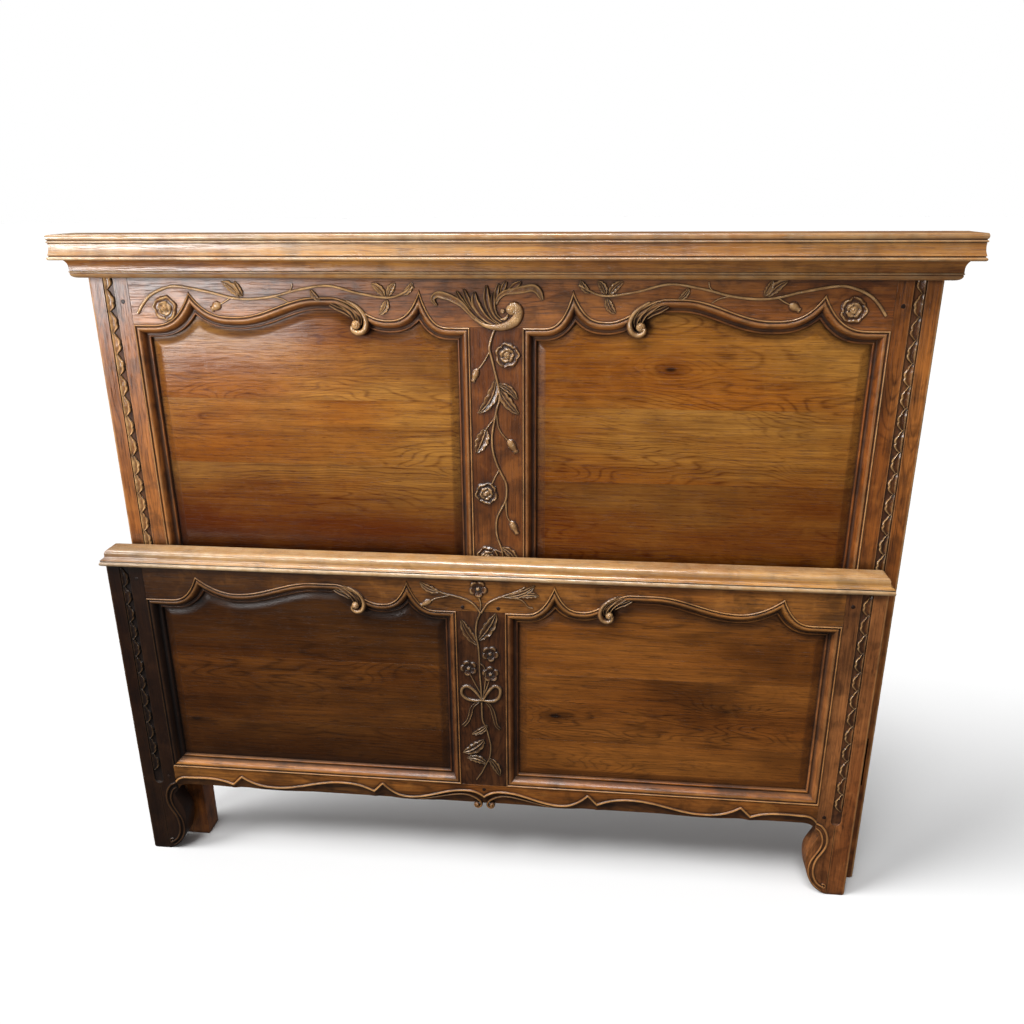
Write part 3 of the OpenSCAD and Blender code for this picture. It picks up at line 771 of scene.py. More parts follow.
def tier(name, section, z, pale):
    """One tier of cornice: a front run mitred to a short return at each end; pale is how much
    lighter its left-hand end is made, a painted sheen."""
    out, up, rub = section.T
    for part, start, stop, count in (("front", (-1, 0), (1, 0), 41),
                                     ("left_return", (-1, 0), (-1, 1), 7),
                                     ("right_return", (1, 0), (1, 1), 7)):
        a, b = (xyz(s * (HEAD.half + out), HEAD.thick if back else -out, z + up)
                for s, back in (start, stop))
        share = np.linspace(0, 1, count)
        left = np.clip(-np.interp(share, [0, 1], [a[0, 0], b[0, 0]]) / HEAD.half, 0, 1)
        shape = Shape(HEAD)
        shape.loft([a * (1 - t) + b * t for t in share], rub + pale * left[:, None] ** 0.7,
                   0.21 if part == "front" else 0.83)
        shape.cover(f"{name}_{part}", "cornice_wood", CORNICE)


def worked(*runs):
    """A moulding's section from its runs of points, each with its rub: rubbed on the rounds, dirt and
    painted shade in the quirks.
    """
    return np.vstack([np.column_stack([points, np.full(len(points), rub)])
                      for points, rub in runs])


def crown_section():
    """Worked face of the cornice's upper tier: how far out, how high, rub."""
    out = HEAD.face - low("crown_front")[1]
    h = high("crown_front")[2] - low("crown_front")[2]
    flare = bezier((out - 0.9, 9.0), (out - 3, 14), (out - 4.4, 22), (out - 3.4, 30), 16)
    lip = bezier((out - 2.8, 36.6), (out - 1, 38), (out - 1, h - 2), (out - 3.2, h), 12)
    return worked(
        ([(0, 0), (out - 3.5, 0)], 0.0),
        (arc((out - 2, 3), 3, -90, 80, 11), 0.45),
        ([(out - 1.4, 6.2), (out - 2.4, 6.8), (out - 2.3, 7.8), (out - 1.2, 8.4)], -0.6),
        (flare, 0.2),
        ([(out - 4.0, 30.6)], -0.5),
        (arc((out - 3.4, 32.7), 1.8, -80, 80, 9), 0.45),
        ([(out - 3.9, 35.0), (out - 3.6, 36.1)], -0.7),
        (lip, 0.4),
        ([(0, h)], 0.2),
    )


def bed_mould_section():
    """Worked face of the cornice's lower tier."""
    h = high("bed_mould_front")[2] - low("bed_mould_front")[2]
    return worked(
        ([(0, 0)], -0.3),
        (bezier((7, 0), (15, 0), (21.5, 2.2), (22.4, 8.6), 9), 0.35),
        ([(21.8, 9.2), (21.8, 10.2)], -0.6),
        (arc((21.8, 12.0), 1.6, -80, 80, 8), 0.5),
        ([(21.8, 14.0)], -0.4),
        (bezier((22.4, 14.6), (21.6, 22), (23.0, 30), (29, h), 12), 0.0),
        ([(0, h)], 0.0),
    )


def top_board():
    shape = Shape(HEAD)
    z0, z1 = low("crown_top_board")[2], high("crown_top_board")[2]
    t, e = HEAD.thick, 1.0
    y = np.array([0, 0, t - e, t, t])
    z = np.array([z0, z1, z1, z1 - e, z0])
    shape.loft([xyz(x, y, z) for x in np.linspace(-HEAD.half, HEAD.half, 25)], 0.1, 0.39)
    shape.cover("crown_top_board", "cornice_wood", CORNICE)


def cap():
    """The footboard's cap, moulded on its front and both ends and flush at its back."""
    out = FOOT.face - low("footboard_cap")[1]
    h = high("footboard_cap")[2] - low("footboard_cap")[2]
    r = 5.2
    section = worked(
        ([(0, 0)], -0.4),
        (arc((out - r, r), r, -90, 80, 12), 0.6),
        ([(out - 2.0, 10.7), (out - 2.4, 11.7)], -0.9),
        ([(out - 1.4, 12.3)], 0.4),
        (bezier((out - 1.9, 12.7), (2, 14), (-0.2, 16), (-0.6, 21), 12), 0.1),
        (bezier((-0.7, h - 9), (-0.8, h - 3), (-5, h), (-11, h), 12), 0.35),
    )
    rings = []
    for o, up, _ in section:
        along = np.linspace(-FOOT.half - o, FOOT.half + o, 60)
        back = np.linspace(FOOT.half + o, -FOOT.half - o, 60)
        back_y = FOOT.thick - 0.8 * (up == 0 or up > h - 0.4)
        z = FOOT.top + up
        rings.append(np.vstack([xyz(along, -o, z), xyz(back, back_y, z)]))
    shape = Shape(FOOT)
    # The left-hand part is made lighter, a painted sheen, and its far end darker, painted shade.
    left = np.clip(-np.array(rings)[:, :, 0] / FOOT.half, 0, 1)
    rub = section[:, 2][:, None] + 0.2 * left ** 0.7
    shape.loft(rings, rub, 0.29, tone=-0.9 * np.clip(left - 0.72, 0, 0.28) / 0.28)
    shape.cover("footboard_cap", "cap_wood", CAP)


# ---- pegs ----

PEG_R = 4.3
PEG_L = 38
PEG_IN = 65


def stud(shape, x, z, seed):
    """A whittled peg: nearly round, with its end standing slightly proud."""
    a = np.linspace(0, 2 * np.pi, 18, endpoint=False)
    wander = 1 + 0.05 * np.sin(3 * a + seed) + 0.03 * np.sin(5 * a + 2 * seed)
    rings = [xyz(x + share * PEG_R * wander * np.cos(a), y, z + share * PEG_R * wander * np.sin(a))
             for share, y in ((0.55, -0.5), (0.85, -0.35), (1.0, 0.1), (1.0, PEG_L))]
    shape.loft(rings, 0.0, 0.1 * seed)


def pegs(end, heights, others):
    """Pegs through both posts at the given heights, and others at their own places."""
    shape = Shape(end)
    at = end.half - PEG_IN
    places = [(s * at, z) for s in (-1, 1) for z in heights] + others
    for i, (x, z) in enumerate(places):
        stud(shape, x, z, i + 1)
    shape.cover(f"{end.body}_pegs", "peg_wood", PEG)


# ---- carving: strokes, leaves, flowers and scrolls ----

def both_ways(*rows):
    """A stroke's section from the rows of its right half: place from the middle, height."""
    right = np.array(rows, float)
    return np.vstack([right[:0:-1] * [-1, 1], right])


V = np.linspace(-1, 1, 9)
STEM = np.column_stack([V, np.sqrt(1 - (0.97 * V) ** 2)])
LEAF = both_ways((0, 1.0), (0.09, 0.72), (0.16, 0.40), (0.36, 0.44), (0.62, 0.70), (0.82, 0.82),
                 (0.95, 0.50), (1, 0.05))
FLUTE = both_ways((0, 0.28), (0.35, 0.42), (0.66, 0.85), (0.82, 1.0), (0.96, 0.7), (1, 0.05))
RIBBON = both_ways((0, 0.55), (0.5, 0.72), (0.75, 1.0), (0.95, 0.8), (1, 0.05))
HUSK = np.array([(-1, 0.05), (-0.92, 0.55), (-0.74, 0.72), (-0.45, 0.52), (-0.10, 0.28),
                 (0.22, 0.34), (0.52, 0.74), (0.74, 1.0), (0.90, 0.80), (1, 0.05)])


def stroke(shape, path, width, height, shape_of=STEM, base=0.0, sink=1.2, lift=None,
           board=0.4, bright=0.0):
    """Sweeps a section along a path drawn on the face. Width and height may vary along it;
    width may also be a pair, for the left and the right of the path."""
    path = np.asarray(path, float)
    n = len(path)
    tangent = np.gradient(path, axis=0)
    tangent /= np.linalg.norm(tangent, axis=1)[:, None]
    normal = np.stack([-tangent[:, 1], tangent[:, 0]], 1)
    v, h = shape_of[:, 0], shape_of[:, 1]
    width = np.asarray(width, float)
    if width.ndim == 2:
        half = np.where(v[None] < 0, width[:, :1], width[:, 1:]) / 2
    else:
        half = np.broadcast_to(width, n)[:, None] / 2
    base = np.broadcast_to(base, n)[:, None]
    high_by = np.broadcast_to(height, n)[:, None] * h[None]
    if lift is not None:
        high_by = high_by * (1 + lift)
    spot = path[:, None] + normal[:, None] * (half * v[None])[..., None]
    top = xyz(spot[..., 0], base - high_by, spot[..., 1])
    under = top[:, [-1, 0]].copy()
    under[..., 1] = base + sink
    # Ridges lighter, and sides and the hidden foot darker: partly wear and dirt, partly painted
    # highlight and painted shade.
    rub = np.broadcast_to(np.concatenate([2.0 * h - 1.2 + bright, [-0.9, -0.9]]), (n, len(v) + 2))
    shape.loft(np.concatenate([top, under], 1), rub, board)


def taper(n, start, stop):
    return start + (stop - start) * np.linspace(0, 1, n)


def stem(shape, points, start=3.6, stop=2.4, height=2.6, n=None, **more):
    n = n or 10 * len(points)
    path = through(points, n)
    stroke(shape, path, taper(n, start, stop), taper(n, height, height * 0.75), **more)


def leaf(shape, root, tip, width, bend=0.0, height=4.4):
    """A leaf with a raised midrib, dished halves and lobed edges."""
    teeth = 4
    root, tip = np.array(root, float), np.array(tip, float)
    axis = tip - root
    side = np.array([-axis[1], axis[0]])
    t = np.linspace(0, 1, 34)
    path = root + axis * t[:, None] + side * (bend * 4 * t * (1 - t))[:, None]
    body = np.sin(np.pi * t ** 0.9) ** 0.7
    lobes = 0.80 + 0.30 * np.abs(np.sin(np.pi * teeth * t + 0.5)) ** 0.6
    others = 0.80 + 0.30 * np.abs(np.sin(np.pi * teeth * t + 1.6)) ** 0.6
    left = width * (body * lobes + 0.05)
    right = width * (body * others + 0.05)
    v = LEAF[:, 0]
    veins = 0.16 * np.sin(2 * np.pi * (teeth * t[:, None] - 1.2 * np.abs(v[None])))
    veins = veins * (np.abs(v) > 0.15) * (np.abs(v) < 0.93)
    tall = height * (0.40 + 0.60 * np.sin(np.pi * np.clip(t * 0.9 + 0.06, 0, 1)) ** 0.6)
    stroke(shape, path, np.stack([left, right], 1), tall, LEAF, lift=veins, bright=0.35)


def frond(shape, points, start, widest, stop, height, n=36, shape_of=FLUTE, **more):
    """A fluted acanthus blade: narrow, then wide, then drawn to its tip."""
    path = through(points, n)
    t = np.linspace(0, 1, n)
    width = np.interp(t, [0, 0.45, 0.8, 1], [start, widest, 0.8 * widest, stop])
    tall = height * np.interp(t, [0, 0.3, 0.9, 1], [0.55, 0.9, 1.0, 0.55])
    stroke(shape, path, width, tall, shape_of, **more)


def disc(shape, x, z, radius, height, rings, spokes, base=0.0, sink=1.2, board=0.4):
    """A round piece of relief: radius(angle) is its outline, height(reach, angle) its face."""
    a = np.linspace(0, 2 * np.pi, spokes, endpoint=False)
    reach = np.concatenate([[1.0], 1 - np.linspace(0, 1, rings)[:-1] ** 1.1, [0.02]])
    layers, rubs = [], []
    for i, rho in enumerate(reach):
        rim = i == 0
        tall = -sink if rim else height(rho, a)
        r = radius(a) * rho
        layers.append(xyz(x + r * np.cos(a), base - tall, z + r * np.sin(a)))
        # The rim and low parts darker and high parts lighter: partly dirt and wear, partly painted
        # shade and highlight.
        rubs.append(np.full_like(a, -0.9) if rim else np.clip(0.46 * (tall + 0 * a) - 1.3, -0.9, 1))
    shape.loft(layers, np.array(rubs), board)


def rose(shape, x, z, r, turn):
    """An open rose: outer petals with ragged, turned-up rims round four furled inner ones."""
    height = 5.8

    def outline(a):
        ragged = 0.03 * np.sin(7 * a + 2 * turn) + 0.02 * np.sin(11 * a + turn)
        return r * (0.84 + 0.12 * np.abs(np.sin(2.5 * a + turn)) ** 0.5 + ragged)

    def face(rho, a):
        ring = 0.86 + 0.05 * np.sin(3 * a + 2 * turn)
        split = np.abs(np.sin(2.5 * a + turn + 0.8 * rho)) ** 0.35
        outer = (0.30 + 0.52 * bump(rho, ring, 0.10)) * (0.45 + 0.55 * split)
        split = np.abs(np.sin(2 * a + turn + 0.7 + 2 * rho)) ** 0.4
        inner = (0.62 + 0.40 * bump(rho, 0.46 + 0.04 * np.sin(2 * a), 0.09)) * (0.45 + 0.55 * split)
        inner = inner * np.clip((0.60 - rho) / 0.06, 0, 1) ** 0.5
        fold = np.abs(np.sin(a + 9 * rho + turn)) ** 0.5
        heart = 1.25 * np.sqrt(np.clip(1 - (rho / 0.32) ** 2, 0, 1)) * (0.55 + 0.45 * fold)
        edge = np.clip((1 - rho) / 0.05, 0, 1) ** 0.5
        return height * (np.maximum(np.maximum(outer, inner), heart) * edge + 0.02)

    disc(shape, x, z, outline, face, rings=34, spokes=100)


def blossom(shape, x, z, r, turn):
    """A five-petalled flower with dished petals and a round eye."""
    height = 4.4

    def outline(a):
        return r * (0.70 + 0.30 * np.abs(np.cos(2.5 * a + turn)) ** 0.55)

    def face(rho, a):
        petal = np.abs(np.cos(2.5 * a + turn)) ** 0.45
        dish = (0.46 + 0.54 * bump(rho, 0.80, 0.16)) * (0.30 + 0.70 * petal)
        eye = np.sqrt(np.clip(1 - (rho / 0.26) ** 2, 0, 1))
        moat = 1 - 0.45 * bump(rho, 0.30, 0.07)
        edge = np.clip((1 - rho) / 0.06, 0, 1) ** 0.5
        return height * (np.maximum(dish * moat * (rho > 0.24), 0.15 + 1.0 * eye) * edge + 0.02)

    disc(shape, x, z, outline, face, rings=26, spokes=90)


def ball(shape, x, z, r, height, **more):
    """A dome with a spiral furrow, for the eye of a scroll."""

    def face(rho, a):
        dome = np.sqrt(np.clip(1 - rho ** 2, 0, 1))
        furrow = 0.16 * np.abs(np.cos(0.5 * a + 7 * rho)) ** 6
        return height * (dome * (1 - furrow) + 0.02)

    disc(shape, x, z, lambda a: r + 0 * a, face, rings=16, spokes=44, **more)


def bud(shape, root, tip, width):
    """A round hip in its calyx, with a small flared mouth at the tip."""
    height = 5.6
    root, tip = np.array(root, float), np.array(tip, float)
    t = np.linspace(0, 1, 28)
    path = root + (tip - root) * t[:, None]
    girth = width * np.interp(t, [0, 0.06, 0.18, 0.40, 0.62, 0.76, 0.84, 0.94, 1],
                              [0.25, 0.62, 0.92, 1.0, 0.86, 0.60, 0.50, 0.74, 0.62])
    v = STEM[:, 0]
    furrow = -0.14 * np.abs(np.cos(2.5 * np.pi * v[None])) * (t[:, None] < 0.45)
    furrow = furrow - 0.45 * (np.abs(v[None]) < 0.5) * (t[:, None] > 0.93)
    tall = height * np.interp(t, [0, 0.15, 0.42, 0.76, 0.92, 1], [0.35, 0.85, 1.0, 0.62, 0.74, 0.5])
    stroke(shape, path, girth, tall, lift=furrow)


def curl(shape, x, z, r, start, turns, width, height, hand=1, **more):
    """A bead that winds in to a point."""
    n = 40
    t = np.linspace(0, 1, n)
    a = math.radians(start) + hand * 2 * np.pi * turns * t
    reach = r * (1 - 0.86 * t ** 0.8)
    path = np.stack([x + reach * np.cos(a), z + reach * np.sin(a)], 1)
    stroke(shape, path, taper(n, width, width * 0.4), taper(n, height, height * 0.8), **more)


def husks(end, side, channel_z, material, tone, bright=0.0):
    """The chain of overlapping husks in a post's channel: each starts on the channel's outer edge,
    swells inwards and ends on it again."""
    shape = Shape(end, tone, bright, side == "left")
    outer = end.half - CHANNEL_OUT - 1.2
    pitch, length, reach, tall = 42.0, 47.0, 17.0, 5.6
    v, h = HUSK[:, 0], HUSK[:, 1]
    # Husk ridges lighter and their foot darker: partly wear and dirt, partly painted highlight and
    # shade.
    rub = np.concatenate([1.9 * h - 0.9, [-0.9, -0.9]])
    t = np.linspace(0, 1, 30)
    swell = np.sin(np.pi * t ** 1.2) ** 0.62
    top = end.top - 3
    for i in range(int((top - channel_z) // pitch)):
        lobes = 0.84 + 0.18 * np.abs(np.sin(np.pi * (3 * t + 0.3 + 0.13 * math.sin(i * 2.3)))) ** 0.6
        wide = reach * swell * lobes + 0.8
        ripple = 0.10 * np.sin(2 * np.pi * (3 * t[:, None] + 0.5 * v[None] + 0.1 * i))
        x = outer - wide[:, None] * (v[None] + 1) / 2
        y = CHANNEL_D - tall * (0.42 + 0.58 * swell[:, None]) * h[None] * (1 + ripple)
        face = xyz(x, y, top - pitch * i - length * t[:, None])
        under = face[:, [-1, 0]].copy()
        under[..., 1] = CHANNEL_D + 0.6
        shape.loft(np.concatenate([face, under], 1), rub, 0.05 * i)
    shape.finish(f"carved_{end.body}_{side}_post_husks", "post_wood", material)


def scroll_drop(shape, x, z, size=1.0):
    """Acanthus that folds over the moulding and rolls up into a ball, opening outwards.
    x and z place the middle of the roll."""
    placed = dict(base=3.5, sink=8.5, board=0.5)

    def at(points):
        return [(x + dx * size, z + dz * size) for dx, dz in points]

    flutes = [([(54, 40), (40, 33), (26, 27), (15, 19)], 9.0, 7.4),
              ([(44, 47), (27, 38), (14, 28), (7, 17), (5, 8)], 11.0, 8.2),
              ([(31, 49), (14, 38), (3, 27), (-4, 14), (-4, 2)], 11.5, 9.0)]
    for points, wide, tall in flutes:
        frond(shape, at(points), 6 * size, wide * size, 5 * size, height=tall, **placed)
    back = through(at([(20, 48), (3, 38), (-9, 26), (-15, 13), (-15, 0), (-9, -10), (2, -13),
                       (11, -8), (12, 0)]), 60)
    t = np.linspace(0, 1, len(back))
    width = size * np.interp(t, [0, 0.3, 0.6, 0.85, 1], [5, 9, 12, 12, 9])
    tall = np.interp(t, [0, 0.3, 0.7, 1], [7, 9, 11.5, 10.5])
    stroke(shape, back, width, tall, **placed)
    ball(shape, x + 5 * size, z + 2 * size, 9 * size, 12, **placed)


def head_rail_carving():
    shape = Shape(HEAD)
    vine = [(707, 1255), (693, 1274), (676, 1290), (650, 1302), (620, 1307), (560, 1297),
            (500, 1284), (440, 1287), (380, 1301), (320, 1309), (260, 1295), (200, 1288),
            (155, 1307)]
    for shape.mirror in (False, True):
        drop = -5 if shape.mirror else 0
        # The left-hand half is made lighter and more rubbed than the right: a painted sheen.
        shape.usual, shape.bright = (0.1, 0.35) if shape.mirror else (-0.3, 0.1)

        def moved(*points):
            return [(a, b + drop) for a, b in points]

        stem(shape, moved(*vine), 5.8, 4.4, 3.8, n=150, bright=0.45)
        rose(shape, 650, 1265 + drop, 26, 0.4 if shape.mirror else 1.3)
        stem(shape, moved((515, 1286), (528, 1278), (541, 1272)), 3.4, 3.0, 2.8)
        bud(shape, *moved((537, 1275), (556, 1263)), 18)
        for root, tip, width, bend in (
                ((497, 1288), (530, 1316), 18, 0.10), ((490, 1289), (503, 1317), 13, -0.06),
                ((212, 1290), (236, 1313), 15, 0.1), ((204, 1290), (190, 1314), 14, -0.1),
                ((208, 1284), (224, 1256), 15, -0.12), ((176, 1293), (158, 1316), 12, 0.1),
                ((355, 1302), (337, 1281), 11, 0.1)):
            leaf(shape, *moved(root, tip), width, bend)
        stem(shape, moved((424, 1290), (404, 1295), (393, 1303), (390, 1313)), 3.4, 2.4, 2.6)
        stem(shape, moved((430, 1288), (412, 1284), (398, 1276)), 3.2, 2.0, 2.4)
        scroll_drop(shape, 266, 1229)
    shape.usual, shape.bright, shape.mirror = -0.2, 0.3, False
    plume(shape)
    shape.finish("carved_headboard_top_rail", "rail_wood", CARVED)


def plume(shape):
    """The acanthus plume over the headboard's muntin, rolled to the right."""

    def blade(points, marks, widths, height, n=60, shape_of=FLUTE, lift=None, bright=0.0):
        path = through(points, n)
        t = np.linspace(0, 1, n)
        tall = height * np.interp(t, [0, 0.2, 0.85, 1], [0.55, 0.85, 1.0, 0.7])
        stroke(shape, path, np.interp(t, marks, widths), tall, shape_of, lift=lift, bright=bright)

    # left branch, from the roll out to its curled tip
    blade([(-23, 1234), (-39, 1245), (-51, 1257), (-64, 1271), (-79, 1280), (-94, 1286),
           (-110, 1289), (-119, 1280), (-112, 1268)],
          [0, 0.25, 0.5, 0.72, 0.85, 1], [8, 7, 12, 14, 10, 4], 5.2, shape_of=RIBBON)
    for points, wide in (([(-50, 1262), (-65, 1279), (-74, 1295)], 9),
                         ([(-44, 1262), (-53, 1280), (-60, 1299)], 10),
                         ([(1, 1276), (2, 1292), (6, 1309)], 9),
                         ([(12, 1289), (14, 1300), (20, 1313)], 10),
                         ([(22, 1293), (33, 1303), (48, 1313)], 12)):
        blade(points, [0, 0.55, 0.85, 1], [4, wide, 0.7 * wide, 3], 4.6, n=26)
    # the three tall flutes
    for points, wide in (([(3, 1232), (-17, 1244), (-31, 1260), (-39, 1277), (-40, 1294)], 17),
                         ([(9, 1237), (-3, 1246), (-13, 1264), (-17, 1285), (-17, 1306)], 13),
                         ([(12, 1241), (2, 1250), (-4, 1264), (-5, 1279), (-4, 1293)], 10)):
        blade(points, [0, 0.35, 0.7, 0.9, 1], [6, 0.7 * wide, wide, 0.6 * wide, 3], 5.8, n=50)
    # right branch, folded over at its end
    blade([(0, 1272), (6, 1284), (18, 1293), (34, 1296), (52, 1299), (69, 1302), (79, 1297),
           (85, 1287), (88, 1280)],
          [0, 0.25, 0.55, 0.75, 0.9, 1], [6, 9, 14, 14, 11, 5], 5.4, shape_of=RIBBON)
    # the rolled body, hatched across
    n = 90
    t = np.linspace(0, 1, n)[:, None]
    v = STEM[None, :, 0]
    hatch = 0.14 * np.sin(2 * np.pi * (26 * t - 1.5 * np.abs(v))) * (t > 0.35)
    blade([(-39, 1245), (-26, 1235), (-10, 1230), (6, 1229), (21, 1232), (35, 1240), (42, 1251),
           (42, 1263), (36, 1270), (27, 1271)],
          [0, 0.2, 0.45, 0.65, 0.82, 1], [5, 9, 16, 21, 20, 9], 7.6, n=n, shape_of=STEM,
          lift=hatch, bright=0.1)
    ball(shape, 30, 1262, 10.5, 8.6)
    blade([(9, 1244), (18, 1245), (23, 1252)], [0, 0.5, 1], [3, 7, 4], 4.4, n=20, shape_of=STEM)
    ball(shape, 13, 1259, 5.0, 5.4)


def head_muntin_carving():
    shape = Shape(HEAD, -0.5)
    main = [(-2, 1226), (-9, 1208), (-13, 1189), (-9, 1171), (-3, 1145), (5, 1108), (5, 1089),
            (0, 1071), (-9, 1026), (-10, 1000), (-7, 978), (0, 956), (9, 937), (17, 919),
            (18, 900), (15, 882), (-1, 848), (-4, 826), (-2, 804), (7, 774), (10, 740), (2, 700),
            (-9, 664), (-9, 630), (2, 590), (8, 552), (3, 512), (-6, 478), (-5, 440), (2, 396),
            (-4, 352)]
    stem(shape, main, 5.6, 4.4, 4.0, n=320)
    for points in ([(-13, 1182), (-26, 1160), (-38, 1146)], [(-1, 1058), (-17, 1037), (-26, 1024)],
                   [(-1, 1066), (3, 1034), (15, 1015), (24, 1006)], [(4, 948), (-4, 934), (-12, 917)],
                   [(16, 890), (18, 852), (27, 834)], [(-9, 640), (8, 616), (22, 602)],
                   [(-1, 496), (-16, 478), (-26, 466)], [(6, 770), (-8, 774), (-18, 766)]):
        stem(shape, points, 4.0, 3.2, 3.2)
    for x, z, r, turn in ((21, 1176, 26, 0.8), (-23, 897, 25, 2.1), (-23, 760, 24, 0.2),
                          (24, 588, 23, 1.0)):
        rose(shape, x, z, r, turn)
    for root, tip, width in (((-37, 1150), (-46, 1124), 15), ((22, 1010), (38, 984), 18),
                             ((26, 839), (39, 811), 17), ((-24, 470), (-37, 444), 16)):
        bud(shape, root, tip, width)
    for root, tip, width, bend in (
            ((-1, 1130), (-37, 1062), 22, 0.12),
            ((3, 1120), (40, 1090), 14, 0.12), ((5, 1112), (43, 1062), 20, -0.06),
            ((-22, 1031), (-42, 981), 26, 0.03), ((7, 780), (38, 746), 18, 0.12),
            ((9, 742), (38, 696), 20, -0.10), ((-2, 690), (-38, 646), 20, 0.10),
            ((0, 596), (-37, 556), 19, 0.10), ((7, 548), (38, 502), 20, -0.10),
            ((-2, 430), (34, 392), 20, 0.10), ((-1, 408), (-36, 368), 19, -0.10)):
        leaf(shape, root, tip, width, bend, height=5.2)
    shape.finish("carved_headboard_muntin", "rail_wood", CARVED)


def foot_rail_carving():
    shape = Shape(FOOT, -0.5)
    blossom(shape, -4, 711, 20, 0.5)
    stem(shape, [(-3, 694), (1, 678), (0, 664)], 4, 3.4, 3.2)
    stem(shape, [(0, 658), (-14, 677), (-29, 686), (-52, 693), (-75, 698), (-95, 707), (-110, 717)],
         5.0, 3.6, 3.6)
    stem(shape, [(-62, 695), (-78, 690), (-93, 686), (-104, 679)], 3.4, 2.8, 2.8)
    bud(shape, (-102, 681), (-124, 669), 14)
    leaf(shape, (-84, 702), (-124, 722), 15, 0.1)
    stem(shape, [(2, 658), (15, 679), (32, 690), (55, 700), (78, 710), (92, 719)], 5.0, 3.6, 3.6)
    leaf(shape, (56, 697), (112, 723), 14, -0.10)
    stem(shape, [(44, 695), (78, 692), (90, 685), (98, 675), (108, 672)], 3.4, 2.6, 2.8)
    leaf(shape, (84, 697), (120, 700), 12, 0.1)
    for shape.mirror in (False, True):
        scroll_drop(shape, 258, 661, 0.9)
    shape.finish("carved_footboard_top_rail", "rail_wood", CARVED)


def bow(shape):
    """The ribbon bow that ties the flowers on the footboard's muntin."""
    loops = ([(-1, 454), (-16, 474), (-31, 484), (-42, 478), (-43, 464), (-32, 453), (-14, 450),
              (0, 452)],
             [(3, 454), (16, 476), (28, 487), (39, 480), (37, 462), (26, 451), (12, 450),
              (1, 452)])
    tails = ([(-4, 450), (-21, 434), (-27, 412), (-33, 397), (-43, 385)],
             [(8, 448), (20, 432), (26, 409), (30, 391), (38, 381)])
    for points in tails:
        frond(shape, points, 5, 9, 7, height=3.8, shape_of=RIBBON, n=30)
    for points in loops:
        n = 46
        width = np.interp(np.linspace(0, 1, n), [0, 0.2, 0.8, 1], [5, 8, 8, 5])
        stroke(shape, through(points, n), width, 4.8, bright=0.15)
    ball(shape, 0, 452, 6, 4.4)


def foot_muntin_carving():
    shape = Shape(FOOT, -1.0)
    stem(shape, [(0, 658), (-8, 635), (-10, 608), (-6, 581), (-4, 550), (-4, 519), (-2, 481),
                 (-1, 452)], 5.0, 4.4, 3.8, n=90)
    leaf(shape, (-4, 596), (32, 657), 24, -0.06, height=5.2)
    leaf(shape, (-8, 584), (-40, 640), 20, 0.06, height=4.2)
    for x, z, turn in ((19, 563, 0.4), (-27, 527, 1.4), (19, 515, 2.2)):
        blossom(shape, x, z, 19, turn)
    for points in ([(-3, 540), (6, 530), (8, 505), (4, 470), (1, 454)],
                   [(-24, 512), (-14, 490), (-3, 468)], [(16, 500), (10, 480), (3, 464)]):
        stem(shape, points, 3.6, 3.2, 3.0)
    bow(shape)
    stem(shape, [(-1, 446), (0, 404), (7, 385), (13, 360), (17, 335), (14, 308), (5, 288),
                 (-4, 268), (-16, 248)], 5.0, 3.4, 3.6, n=90)
    for root, tip, width, bend in (
            ((10, 390), (-24, 366), 13, 0.10), ((2, 352), (-44, 318), 24, 0.10),
            ((6, 292), (-36, 304), 18, -0.12), ((12, 306), (36, 262), 17, 0.08)):
        leaf(shape, root, tip, width, bend, height=5.0)
    shape.finish("carved_footboard_muntin", "rail_wood", CARVED)


def foot_scroll(side, material, tone):
    """Beads that carry the apron's wave down the foot."""
    shape = Shape(FOOT, tone, 0.3, side == "left")
    half = FOOT.half
    lines = ([(-80, 189), (-68, 182), (-58, 168), (-53, 150), (-54, 130), (-61, 112), (-70, 94),
              (-74, 72), (-72, 50), (-62, 30), (-46, 18)],
             [(-79, 176), (-70, 168), (-64, 154), (-62, 140), (-65, 124), (-73, 106), (-81, 88),
              (-84, 68), (-80, 44), (-68, 24), (-52, 10)])
    for points, width, height in zip(lines, (6.0, 4.6), (4.2, 3.0)):
        n = 80
        path = through([(half + a, b) for a, b in points], n)
        t = np.linspace(0, 1, n)
        stroke(shape, path, width * np.interp(t, [0, 0.1, 0.8, 1], [0.7, 1, 1, 0.6]), height)
    curl(shape, half - 48, 22, 7, 120, 1.1, 4.0, 3.6, hand=-1)
    shape.finish(f"carved_footboard_{side}_foot", "post_wood", material)


def apron_scrolls():
    """Two volutes under the middle of the apron's wave, rolled out of its lower edge."""
    shape = Shape(FOOT, -0.7)
    for shape.mirror in (False, True):
        stem(shape, [(150, 185), (118, 192), (84, 200), (56, 205), (36, 204), (20, 197), (10, 189),
                     (6.5, 181)], 2.2, 5.0, 3.4, n=90, base=3.0, sink=8.0)
        curl(shape, 16, 181, 9.5, 180, 1.15, 5.4, 4.6, base=2.5, sink=6.0)
        ball(shape, 16, 181, 4.6, 5.2, base=1.5)
    shape.finish("carved_footboard_apron", "rail_wood", LOW_X)


# ---- iron ----

SCREW_UP = 50


def dress(node, material):
    """Gives a node that is shown as the CAD drew it its material."""
    slots = frame["nodes"][node].data.materials
    slots.clear()
    slots.append(material)


